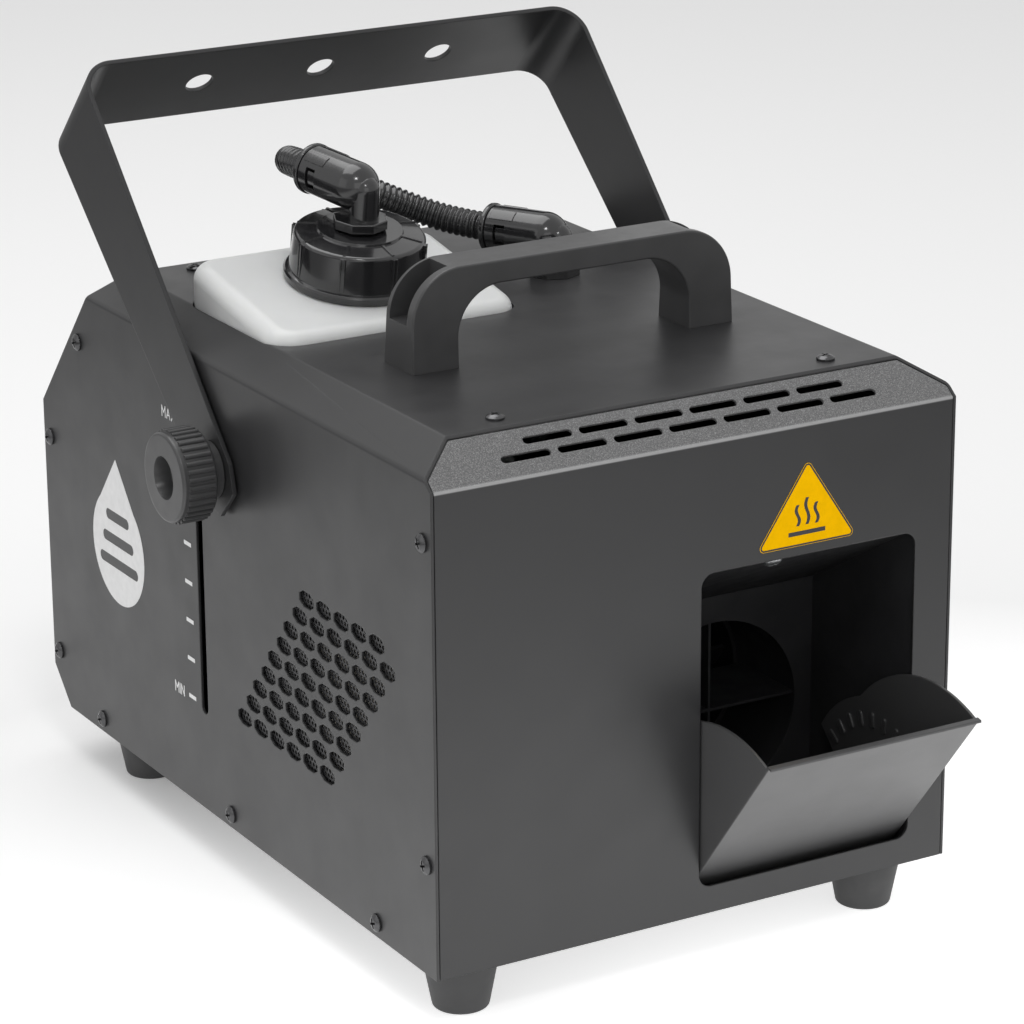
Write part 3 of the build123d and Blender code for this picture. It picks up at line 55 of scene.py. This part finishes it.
# ---- shader helpers ------------------------------------------------------------------------
class Shader:
    """A principled material with small helpers for its node graph."""

    def __init__(self, name, color, roughness, metallic=0.0, specular=0.5, coat=0.0):
        self.material = bpy.data.materials.new(name)
        self.material.use_nodes = True
        self.tree = self.material.node_tree
        self.out = self.tree.nodes["Principled BSDF"]
        self.out.inputs["Base Color"].default_value = (*color, 1.0)
        self.out.inputs["Roughness"].default_value = roughness
        self.out.inputs["Metallic"].default_value = metallic
        self.out.inputs["Specular IOR Level"].default_value = specular
        self.out.inputs["Coat Weight"].default_value = coat
        self.color = color
        self.roughness = roughness
        self.normal = None
        self.coords = self.add("ShaderNodeTexCoord").outputs["Object"]

    def add(self, kind, **settings):
        node = self.tree.nodes.new(kind)
        for key, value in settings.items():
            setattr(node, key, value)
        return node

    def link(self, source, target):
        self.tree.links.new(source, target)

    def noise(self, scale, detail=3.0, roughness=0.5, stretch=None):
        node = self.add("ShaderNodeTexNoise")
        node.inputs["Scale"].default_value = scale
        node.inputs["Detail"].default_value = detail
        node.inputs["Roughness"].default_value = roughness
        source = self.coords
        if stretch:
            mapping = self.add("ShaderNodeMapping")
            mapping.inputs["Scale"].default_value = stretch
            self.link(self.coords, mapping.inputs["Vector"])
            source = mapping.outputs["Vector"]
        self.link(source, node.inputs["Vector"])
        return node.outputs["Fac"]

    def remap(self, value, low, high, to_low=0.0, to_high=1.0):
        node = self.add("ShaderNodeMapRange")
        for key, number in (("From Min", low), ("From Max", high), ("To Min", to_low),
                            ("To Max", to_high)):
            node.inputs[key].default_value = number
        self.link(value, node.inputs["Value"])
        return node.outputs["Result"]

    def mix(self, factor, first, second):
        node = self.add("ShaderNodeMix", data_type="RGBA")
        self.link(factor, node.inputs["Factor"])
        for socket, value in ((node.inputs[6], first), (node.inputs[7], second)):
            if isinstance(value, tuple):
                socket.default_value = (*value, 1.0)
            else:
                self.link(value, socket)
        return node.outputs[2]

    def math(self, operation, first, second):
        node = self.add("ShaderNodeMath", operation=operation)
        for socket, value in zip(node.inputs, (first, second)):
            if isinstance(value, (int, float)):
                socket.default_value = value
            else:
                self.link(value, socket)
        return node.outputs["Value"]

    def axis(self, name):
        node = self.add("ShaderNodeSeparateXYZ")
        self.link(self.coords, node.inputs["Vector"])
        return node.outputs[name]

    def mottle(self, scale, amount, detail=4.0):
        """Vary the colour a little either way."""
        low = tuple(c * (1 - amount) for c in self.color)
        high = tuple(c * (1 + amount) for c in self.color)
        spread = self.remap(self.noise(scale, detail), 0.3, 0.7)
        self.paint = self.mix(spread, low, high)
        self.link(self.paint, self.out.inputs["Base Color"])
        return self

    def vary_roughness(self, scale, amount, detail=4.0):
        spread = self.remap(self.noise(scale, detail), 0.3, 0.7, self.roughness - amount,
                            self.roughness + amount)
        self.link(spread, self.out.inputs["Roughness"])
        return self

    def rounded(self, radius):
        """Soften sharp edges by a small radius."""
        node = self.add("ShaderNodeBevel", samples=4)
        node.inputs["Radius"].default_value = radius
        self.normal = node.outputs["Normal"]
        self.link(self.normal, self.out.inputs["Normal"])
        return self

    def bump(self, height, distance, strength=1.0):
        node = self.add("ShaderNodeBump")
        node.inputs["Strength"].default_value = strength
        node.inputs["Distance"].default_value = distance
        self.link(height, node.inputs["Height"])
        if self.normal:
            self.link(self.normal, node.inputs["Normal"])
        self.normal = node.outputs["Normal"]
        self.link(self.normal, self.out.inputs["Normal"])
        return self


# ---- materials -----------------------------------------------------------------------------
def powder_coat(name, color, roughness, grain, depth, specular=0.6):
    """Satin powder coat: fine orange peel over a faint cloudiness."""
    shader = Shader(name, color, roughness, specular=specular)
    shader.mottle(22, 0.05).vary_roughness(45, 0.04).rounded(0.8 * MM)
    shader.bump(shader.noise(grain, 2.0, 0.45), depth)
    shader.bump(shader.noise(grain / 6, 2.0), depth * 1.6, 0.4)
    return shader.material


def speckled_coat():
    """Front sheet: smooth below, sparkling grain on the slotted slope, a painted highlight along its
    fold.
    """
    shader = Shader("speckled_coat", (0.022, 0.022, 0.023), 0.38, specular=0.6)
    shader.vary_roughness(45, 0.04).rounded(0.8 * MM)
    height = shader.axis("Z")
    slope = shader.remap(height, FOLD_Z - 0.6 * MM, FOLD_Z + 0.6 * MM)
    speck = shader.remap(shader.noise(1900, 3.0, 0.75), 0.48, 0.68)
    fleck = shader.math("MULTIPLY", speck, slope)
    cloud = shader.remap(shader.noise(22), 0.3, 0.7)
    base = shader.mix(cloud, (0.021, 0.021, 0.022), (0.023, 0.023, 0.024))
    lifted = shader.mix(slope, base, (0.095, 0.095, 0.096))
    grain = shader.mix(fleck, lifted, (0.30, 0.30, 0.302))
    # Painted highlight: a light band along the slope's lower fold, standing in for the light its
    # bend catches.
    off_fold = shader.math("ABSOLUTE", shader.math("SUBTRACT", height, FOLD_Z), 0.0)
    painted_fold_highlight = shader.remap(off_fold, 0.3 * MM, 0.9 * MM, 0.8, 0.0)
    shader.link(shader.mix(painted_fold_highlight, grain, (0.40, 0.40, 0.402)), shader.out.inputs["Base Color"])
    shader.bump(shader.noise(1500, 2.0, 0.45), 0.012 * MM)
    rough_peel = shader.math("MULTIPLY", shader.noise(1500, 3.0, 0.6), slope)
    shader.bump(rough_peel, 0.06 * MM, 0.7)
    return shader.material


def moulded(name, color, roughness, grain=2600, depth=0.006, coat=0.0, cloud=0.08):
    """Moulded plastic with a faint grain."""
    shader = Shader(name, color, roughness, specular=0.6, coat=coat)
    shader.mottle(60, cloud).vary_roughness(120, 0.05).rounded(0.35 * MM)
    shader.bump(shader.noise(grain, 2.0), depth * MM)
    return shader.material


def sheet_steel(name, color, roughness, stretch):
    """Rolled or brushed metal: fine lines one way, with a soft variation."""
    shader = Shader(name, color, roughness, metallic=1.0)
    shader.mottle(35, 0.10).vary_roughness(60, 0.08).rounded(0.3 * MM)
    shader.bump(shader.noise(900, 3.0, 0.6, stretch), 0.01 * MM)
    return shader.material


def duct_coat():
    """Dark coated duct sheet, a little stained."""
    shader = Shader("duct_coat", (0.030, 0.030, 0.032), 0.42, specular=0.5)
    cell = shader.add("ShaderNodeTexVoronoi")
    cell.inputs["Scale"].default_value = 130.0
    shader.link(shader.coords, cell.inputs["Vector"])
    tone = shader.mix(cell.outputs["Color"], (0.027, 0.027, 0.029), (0.034, 0.034, 0.036))
    stain = shader.remap(shader.noise(14, 5.0), 0.45, 0.75)
    shader.link(shader.mix(stain, tone, (0.022, 0.022, 0.023)), shader.out.inputs["Base Color"])
    shader.vary_roughness(80, 0.10).rounded(0.3 * MM)
    shader.bump(shader.noise(300, 3.0), 0.02 * MM)
    return shader.material


def milky_plastic():
    """Blow-moulded tank: cloudy, slightly uneven, light passes through."""
    shader = Shader("milky_plastic", (0.74, 0.75, 0.74), 0.34, specular=0.45)
    shader.mottle(26, 0.03)
    shader.out.inputs["Subsurface Weight"].default_value = 0.55
    shader.out.inputs["Subsurface Radius"].default_value = (0.012, 0.012, 0.011)
    shader.out.inputs["Subsurface Scale"].default_value = 0.6
    shader.out.inputs["Transmission Weight"].default_value = 0.12
    shader.rounded(0.4 * MM)
    shader.bump(shader.noise(70, 2.0), 0.10 * MM, 0.5)
    shader.bump(shader.noise(900, 2.0), 0.008 * MM)
    return shader.material


def clear_tube():
    """Soft silicone tube."""
    shader = Shader("clear_tube", (0.80, 0.81, 0.79), 0.25)
    shader.mottle(90, 0.03)
    shader.out.inputs["Transmission Weight"].default_value = 0.55
    shader.bump(shader.noise(300, 2.0), 0.02 * MM)
    return shader.material


def woven_glass():
    """Woven insulation."""
    shader = Shader("woven_glass", (0.62, 0.58, 0.50), 0.9)
    waves = []
    for direction in ("X", "Z"):
        wave = shader.add("ShaderNodeTexWave", bands_direction=direction)
        wave.inputs["Scale"].default_value = 260.0
        wave.inputs["Distortion"].default_value = 1.2
        shader.link(shader.coords, wave.inputs["Vector"])
        waves.append(wave.outputs["Fac"])
    shader.mottle(40, 0.12)
    shader.bump(shader.math("MAXIMUM", *waves), 0.25 * MM)
    return shader.material


def rubber():
    """Dull moulded rubber with dust in its grain."""
    shader = Shader("rubber", (0.062, 0.062, 0.063), 0.62, specular=0.35)
    dust = shader.remap(shader.noise(55, 5.0), 0.55, 0.85, 0.0, 0.35)
    shader.link(shader.mix(dust, (0.058, 0.058, 0.059), (0.11, 0.108, 0.105)),
                shader.out.inputs["Base Color"])
    shader.vary_roughness(90, 0.08).rounded(0.6 * MM)
    shader.bump(shader.noise(1400, 2.0), 0.02 * MM)
    return shader.material


def solder_mask():
    """Circuit board green with copper tracks just visible."""
    shader = Shader("solder_mask", (0.01, 0.09, 0.04), 0.3)
    cell = shader.add("ShaderNodeTexBrick")
    cell.inputs["Scale"].default_value = 110.0
    shader.link(shader.coords, cell.inputs["Vector"])
    shader.link(shader.mix(cell.outputs["Fac"], (0.01, 0.10, 0.045), (0.03, 0.16, 0.06)),
                shader.out.inputs["Base Color"])
    shader.bump(cell.outputs["Fac"], 0.03 * MM)
    return shader.material


def printed(name, color, specular=0.2):
    """Screen-printed ink, slightly uneven."""
    shader = Shader(name, color, 0.5, specular=specular)
    shader.mottle(300, 0.04)
    shader.bump(shader.noise(1500, 2.0), 0.01 * MM)
    return shader.material


def tinted_screen():
    """Dark display window."""
    shader = Shader("tinted_screen", (0.008, 0.018, 0.022), 0.08, coat=0.6)
    shader.mottle(30, 0.1)
    shader.bump(shader.noise(60, 1.0), 0.01 * MM)
    return shader.material


def make_materials():
    """One material for each slot of the record."""
    return {
        "housing_paint": powder_coat("housing_coat", (0.022, 0.022, 0.023), 0.38, 1500,
                                     0.012 * MM),
        "panel_paint": speckled_coat(),
        # The flap has the housing's paint; its lighter colour is painted reflection of the bright
        # floor in front of it.
        "flap_paint": powder_coat("flap_coat_painted_reflection", (0.068, 0.068, 0.069), 0.34, 1500, 0.010 * MM),
        "bare_steel": sheet_steel("bare_steel", (0.56, 0.57, 0.58), 0.32, (1, 1, 6)),
        "duct_steel": duct_coat(),
        "black_screw": sheet_steel("black_oxide", (0.11, 0.11, 0.113), 0.26, (1, 1, 1)),
        "black_steel": powder_coat("yoke_coat", (0.024, 0.024, 0.025), 0.36, 1700, 0.010 * MM,
                                   0.45),
        "foot_rubber": rubber(),
        "black_nylon": moulded("black_nylon", (0.044, 0.044, 0.045), 0.33, 1900, 0.010),
        "black_gloss": moulded("black_gloss", (0.014, 0.014, 0.015), 0.18, 900, 0.006, coat=0.5),
        "hose_nylon": moulded("hose_nylon", (0.018, 0.018, 0.019), 0.22, 900, 0.006, coat=0.4),
        "tank_plastic": milky_plastic(),
        "silicone_tube": clear_tube(),
        "heater_alloy": sheet_steel("cast_alloy", (0.55, 0.56, 0.57), 0.5, (1, 1, 1)),
        "insulation": woven_glass(),
        "brass": sheet_steel("brass", (0.62, 0.44, 0.18), 0.3, (6, 1, 1)),
        "pump_case": sheet_steel("pump_case", (0.45, 0.46, 0.48), 0.35, (1, 6, 1)),
        "board_green": solder_mask(),
        "mesh_black": powder_coat("mesh_coat", (0.028, 0.028, 0.030), 0.40, 1500, 0.01 * MM),
        "mark_grey": printed("light_ink", (0.74, 0.74, 0.74)),
        "mark_yellow": printed("yellow_film", (0.92, 0.50, 0.002), 0.0),
        "screen_glass": tinted_screen(),
        "switch_red": moulded("switch_red", (0.30, 0.01, 0.01), 0.22, 900, 0.005, coat=0.4),
        "button_grey": moulded("button_grey", (0.07, 0.07, 0.075), 0.4, 1500, 0.01),
        "fan_black": moulded("fan_black", (0.018, 0.018, 0.019), 0.38, 1500, 0.01),
    }


def dress_nodes(materials):
    """Give every CAD node its slot's material."""
    for part in frame["record"]["subparts"]:
        piece = nodes[part["node"]]
        piece.data.materials.clear()
        piece.data.materials.append(materials[part["material_slot"]])


# ---- geometry helpers ----------------------------------------------------------------------
def new_piece(name, verts, faces, material, body, smooth=False):
    """Mesh object that rides on a body and takes its finish from a slot."""
    mesh = bpy.data.meshes.new(name)
    mesh.from_pydata([tuple(v) for v in verts], [], faces)
    mesh.update()
    piece = bpy.data.objects.new(name, mesh)
    bpy.context.scene.collection.objects.link(piece)
    mesh.materials.append(material)
    if smooth:
        for polygon in mesh.polygons:
            polygon.use_smooth = True
    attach(piece, body)
    return piece


def spline_points(route, resolution=24):
    """Points along the smooth curve that a list of control points steers."""
    curve = bpy.data.curves.new("route", "CURVE")
    curve.dimensions = "3D"
    spline = curve.splines.new("NURBS")
    spline.points.add(len(route) - 1)
    for point, place in zip(spline.points, route):
        point.co = (*place, 1.0)
    spline.order_u = 3
    spline.use_endpoint_u = True
    spline.resolution_u = resolution
    holder = bpy.data.objects.new("route", curve)
    bpy.context.scene.collection.objects.link(holder)
    mesh = bpy.data.meshes.new_from_object(holder)
    points = [v.co.copy() for v in mesh.vertices]
    bpy.data.objects.remove(holder)
    bpy.data.meshes.remove(mesh)
    return points


def even_points(points, step):
    """Points at an even spacing along a line of points."""
    lengths = [0.0]
    for a, b in zip(points, points[1:]):
        lengths.append(lengths[-1] + (b - a).length)
    count = max(2, round(lengths[-1] / step))
    result = []
    k = 0
    for i in range(count + 1):
        target = lengths[-1] * i / count
        while k < len(points) - 2 and lengths[k + 1] < target:
            k += 1
        span = lengths[k + 1] - lengths[k]
        result.append(points[k].lerp(points[k + 1], (target - lengths[k]) / span if span else 0.0))
    return result


def sweep_rings(points, radius_at, sides):
    """Vertices and faces of a tube whose radius changes along its line."""
    verts, faces = [], []
    tangent = (points[1] - points[0]).normalized()
    side = tangent.orthogonal().normalized()
    travelled = 0.0
    for i, point in enumerate(points):
        ahead = points[min(i + 1, len(points) - 1)] - points[max(i - 1, 0)]
        tangent = ahead.normalized()
        side = (side - tangent * side.dot(tangent)).normalized()
        other = tangent.cross(side)
        travelled += (point - points[i - 1]).length if i else 0.0
        radius = radius_at(travelled)
        for j in range(sides):
            turn = tau * j / sides
            verts.append(point + (side * cos(turn) + other * sin(turn)) * radius)
    for i in range(len(points) - 1):
        for j in range(sides):
            a, b = i * sides + j, i * sides + (j + 1) % sides
            faces.append((a, b, b + sides, a + sides))
    faces.append(tuple(reversed(range(sides))))
    faces.append(tuple(range(len(verts) - sides, len(verts))))
    return verts, faces


# ---- fluid hose ----------------------------------------------------------------------------
HOSE_ROUTE = [(43.30, 60.24, 261.85), (30.21, 83.86, 261.85), (13.5, 99.75, 268.0),
              (-8.0, 104.25, 278.5), (-32.0, 106.75, 289.0), (-52.0, 97.75, 299.5),
              (-53.55, 74.99, 301.49), (-49.50, 57.56, 299.57)]
HOSE_R = 6.5 * MM
RIB_PITCH = 3.1 * MM
RIB_DEPTH = 1.1 * MM
RIB_STEPS = 12      # rings of points along one rib
HOSE_SIDES = 28     # points round one ring


def corrugated_hose(materials):
    """Ribbed hose between the two elbows."""
    route = [Vector(point) * MM for point in HOSE_ROUTE]
    line = even_points(spline_points(route), RIB_PITCH / RIB_STEPS)

    def rib(travelled):
        wave = 0.5 + 0.5 * cos(tau * travelled / RIB_PITCH)
        return HOSE_R - RIB_DEPTH * (1 - wave ** 0.7)

    verts, faces = sweep_rings(line, rib, HOSE_SIDES)
    hose = new_piece("corrugated_hose", verts, faces, materials["hose_nylon"], "housing",
                     smooth=True)
    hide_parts("fluid_hose")


# ---- perforated screens --------------------------------------------------------------------
HOLE_PITCH = 2.7 * MM
HOLE_R = 0.95 * MM
HOLE_SIDES = 8
SCREEN_SHEET = 0.5 * MM
SCREEN_INSET = 0.3 * MM


def vent_screens(materials):
    """Staggered round holes in a thin sheet behind each side's vents."""
    low, high = (Vector(c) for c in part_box("vent_screens"))
    columns = round((high.y - low.y) / HOLE_PITCH)
    rows = round((high.z - low.z) / (HOLE_PITCH * sqrt(3) / 2))
    dy, dz = (high.y - low.y) / columns, (high.z - low.z) / rows
    verts, faces, index = [], [], {}

    def vertex(x, y, z):
        key = (round(y * 1e7), round(z * 1e7), x > 0)
        if key not in index:
            index[key] = len(verts)
            verts.append((x, y, z))
        return index[key]

    for x in (low.x + SCREEN_INSET, high.x - SCREEN_INSET):
        for row in range(rows):
            for column in range(columns):
                cy = low.y + dy * (column + (0.75 if row % 2 else 0.25))
                cz = low.z + dz * (row + 0.5)
                outer = [(cy + u * dy / 2, cz + v * dz / 2) for u, v in
                         ((1, 0), (1, 1), (0, 1), (-1, 1), (-1, 0), (-1, -1), (0, -1), (1, -1))]
                turns = [tau * k / HOLE_SIDES for k in range(HOLE_SIDES)]
                inner = [(cy + HOLE_R * cos(t), cz + HOLE_R * sin(t)) for t in turns]
                for k in range(HOLE_SIDES):
                    m = (k + 1) % HOLE_SIDES
                    faces.append((vertex(x, *outer[k]), vertex(x, *outer[m]),
                                  vertex(x, *inner[m]), vertex(x, *inner[k])))
    screen = new_piece("perforated_screens", verts, faces, materials["mesh_black"], "housing")
    thick = screen.modifiers.new("sheet", "SOLIDIFY")
    thick.thickness = SCREEN_SHEET
    thick.offset = 0.0
    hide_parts("vent_screens")


# ---- printed marks -------------------------------------------------------------------------
INK_HEIGHT = 0.05 * MM
HEAT_LINES = ((-4.6, 13.2, 9.0), (0.0, 14.6, 11.5), (4.6, 13.2, 9.0))  # middle x, y, length, mm
HEAT_BAR = ((-9.0, 4.6), (9.0, 4.6), (9.0, 6.4), (-9.0, 6.4))          # corners, mm
BORDER_OUTER = (1.8 * MM, 0.2 * MM)   # corner radius, distance from the triangle's edge
BORDER_INNER = (1.1 * MM, 0.9 * MM)
# The mark's own rounding takes these lengths off its sharp corners.
ROUNDED_OFF_WIDTH = 1.76 * MM
ROUNDED_OFF_HEIGHT = 1.58 * MM


def flat_shape(name, outline, place, material):
    """Thin raised shape from a 2-D outline, placed by a matrix."""
    verts = [place @ Vector((x, y, z)) for z in (0.0, INK_HEIGHT) for x, y in outline]
    count = len(outline)
    faces = [tuple(reversed(range(count))), tuple(range(count, 2 * count))]
    faces += [(i, (i + 1) % count, (i + 1) % count + count, i + count) for i in range(count)]
    return new_piece(name, verts, faces, material, "housing")


def wave_outline(length, width, swing, steps=28):
    """Outline of a wavy upright line, rounded at neither end."""
    def centre(t):
        return swing * sin(tau * t)
    left = [(centre(i / steps) - width / 2, length * (i / steps - 0.5)) for i in range(steps + 1)]
    right = [(x + width, y) for x, y in reversed(left)]
    return left + right


def hot_surface_symbol(materials):
    """Three rising heat lines over a bar, on the yellow triangle, and the triangle's border."""
    low, high = (Vector(c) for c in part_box("hot_surface_mark"))
    middle = (low.x + high.x) / 2
    face_y = low.y - 0.02 * MM
    upright = Matrix(((1, 0, 0, middle), (0, 0, -1, face_y), (0, 1, 0, low.z), (0, 0, 0, 1)))
    ink = materials["mesh_black"]
    for i, (line_x, line_y, length) in enumerate(HEAT_LINES):
        outline = [(x + line_x * MM, y + line_y * MM)
                   for x, y in wave_outline(length * MM, 1.5 * MM, 0.8 * MM)]
        flat_shape(f"heat_line_{i + 1}", outline, upright, ink)
    bar = [(x * MM, y * MM) for x, y in HEAT_BAR]
    flat_shape("heat_bar", bar, upright, ink)
    half = (high.x - low.x) / 2 + ROUNDED_OFF_WIDTH
    tall = high.z - low.z + ROUNDED_OFF_HEIGHT
    border(upright, half, tall, ink)


def rounded_triangle(half, tall, radius, inset, steps=6):
    """Outline of a triangle with rounded corners, moved in by `inset`."""
    slope = hypot(half, tall)
    corners = [Vector((-half, 0)), Vector((half, 0)), Vector((0, tall))]
    centre = Vector((0, tall / (1 + slope / half)))
    reach = centre.y
    outline = []
    for i, corner in enumerate(corners):
        towards = centre + (corner - centre) * (1 - (inset + radius) / reach)
        before, after = corners[i - 1], corners[(i + 1) % 3]
        into = (corner - before).normalized()
        out = (after - corner).normalized()
        start = Vector((into.y, -into.x))
        end = Vector((out.y, -out.x))
        for k in range(steps + 1):
            blend = start.lerp(end, k / steps).normalized()
            outline.append(towards + blend * radius)
    return outline


def border(place, half, tall, ink):
    """Thin dark line just inside the triangle's edge."""
    outer = rounded_triangle(half, tall, *BORDER_OUTER)
    inner = rounded_triangle(half, tall, *BORDER_INNER)
    count = len(outer)
    verts = [place @ Vector((p.x, p.y, z)) for z in (0.0, INK_HEIGHT)
             for ring in (outer, inner) for p in ring]
    faces = []
    for i in range(count):
        k = (i + 1) % count
        faces += [(i, k, count + k, count + i),
                  (2 * count + i, 3 * count + i, 3 * count + k, 2 * count + k),
                  (i, 2 * count + i, 2 * count + k, k),
                  (count + i, count + k, 3 * count + k, 3 * count + i)]
    new_piece("mark_border", verts, faces, ink, "housing")


# ---- studio --------------------------------------------------------------------------------
CAMERA_TARGET = Vector((14.35, 14.25, 148.03)) * MM
CAMERA_AZIMUTH = radians(-30.17)
CAMERA_ELEVATION = radians(18.53)
CAMERA_DISTANCE = 1753.3 * MM
CAMERA_ROLL = radians(-0.405)
CAMERA_LENS = 139.6

PAPER_EDGE = (0.55, 0.95)           # white ends, grey begins: metres from the middle line
GLOW_CENTRE = (0.03, -0.22, 0.0)    # under the outlet
GLOW_REACH = (0.08, 0.50)           # full glow, no glow: metres from its centre
GLOW_STRENGTH = 0.75
FLOOR_HALF = 6.0


def studio_floor():
    """Roll of white paper on a grey floor; the paper itself glows around a spot under the object, a
    painted pool of light.
    """
    shader = Shader("floor", (0.88, 0.88, 0.88), 0.8, specular=0.2)
    across = shader.math("ADD", shader.math("MULTIPLY", shader.axis("X"), cos(CAMERA_AZIMUTH)),
                         shader.math("MULTIPLY", shader.axis("Y"), sin(CAMERA_AZIMUTH)))
    bare = shader.remap(shader.math("ABSOLUTE", across, 0.0), *PAPER_EDGE)
    shader.link(shader.mix(bare, (0.88, 0.88, 0.88), (0.24, 0.24, 0.24)),
                shader.out.inputs["Base Color"])
    # Painted pool of light: the floor emits light, at full strength near GLOW_CENTRE and fading to
    # none at the far end of GLOW_REACH.
    away = shader.add("ShaderNodeVectorMath", operation="DISTANCE")
    shader.link(shader.coords, away.inputs[0])
    away.inputs[1].default_value = GLOW_CENTRE
    shader.link(shader.remap(away.outputs["Value"], *GLOW_REACH, GLOW_STRENGTH, 0.0),
                shader.out.inputs["Emission Strength"])
    shader.out.inputs["Emission Color"].default_value = (1.0, 1.0, 1.0, 1.0)
    corners = [(x * FLOOR_HALF, y * FLOOR_HALF, 0)
               for x, y in ((-1, -1), (1, -1), (1, 1), (-1, 1))]
    mesh = bpy.data.meshes.new("floor")
    mesh.from_pydata(corners, [], [(0, 1, 2, 3)])
    floor = bpy.data.objects.new("floor", mesh)
    mesh.materials.append(shader.material)
    bpy.context.scene.collection.objects.link(floor)


def area_light(name, place, target, size, power):
    data = bpy.data.lights.new(name, "AREA")
    data.shape = "RECTANGLE"
    data.size, data.size_y = size
    data.energy = power
    light = bpy.data.objects.new(name, data)
    light.location = place
    aim = Vector(target) - Vector(place)
    light.rotation_euler = aim.to_track_quat("-Z", "Y").to_euler()
    bpy.context.scene.collection.objects.link(light)


def studio_light():
    """Bright surround, soft boxes at the left, above and in front, and a small box for glints."""
    world = bpy.data.worlds.new("studio")
    world.use_nodes = True
    world.node_tree.nodes["Background"].inputs["Color"].default_value = (1, 1, 1, 1)
    world.node_tree.nodes["Background"].inputs["Strength"].default_value = 0.71
    bpy.context.scene.world = world
    middle = (0.0, 0.0, 0.15)
    area_light("left_box", (-1.9, 0.1, 0.9), middle, (1.4, 1.2), 1.5)
    area_light("top_box", (-0.2, 0.5, 1.9), middle, (1.6, 1.4), 15)
    area_light("front_box", (-0.6, -2.0, 0.8), middle, (1.2, 1.0), 2)
    area_light("glint_box", (-0.5, -1.2, 1.7), middle, (0.35, 0.25), 4)
    bpy.context.scene.view_settings.view_transform = "Standard"


def studio_camera():
    """Long-lens view from the front left, a little above."""
    data = bpy.data.cameras.new("camera")
    data.lens = CAMERA_LENS
    data.sensor_width = 36.0
    camera = bpy.data.objects.new("camera", data)
    level = cos(CAMERA_ELEVATION)
    away = Vector((sin(CAMERA_AZIMUTH) * level, -cos(CAMERA_AZIMUTH) * level,
                   sin(CAMERA_ELEVATION)))
    right = (-away).cross(Vector((0, 0, 1))).normalized()
    up = right.cross(-away)
    turned = right * cos(CAMERA_ROLL) + up * sin(CAMERA_ROLL)
    upright = up * cos(CAMERA_ROLL) - right * sin(CAMERA_ROLL)
    turn = Matrix((turned, upright, away)).transposed().to_4x4()
    camera.matrix_world = Matrix.Translation(CAMERA_TARGET + away * CAMERA_DISTANCE) @ turn
    bpy.context.scene.collection.objects.link(camera)
    bpy.context.scene.camera = camera


studio_camera()
finishes = make_materials()
dress_nodes(finishes)
corrugated_hose(finishes)
vent_screens(finishes)
hot_surface_symbol(finishes)
studio_floor()
studio_light()
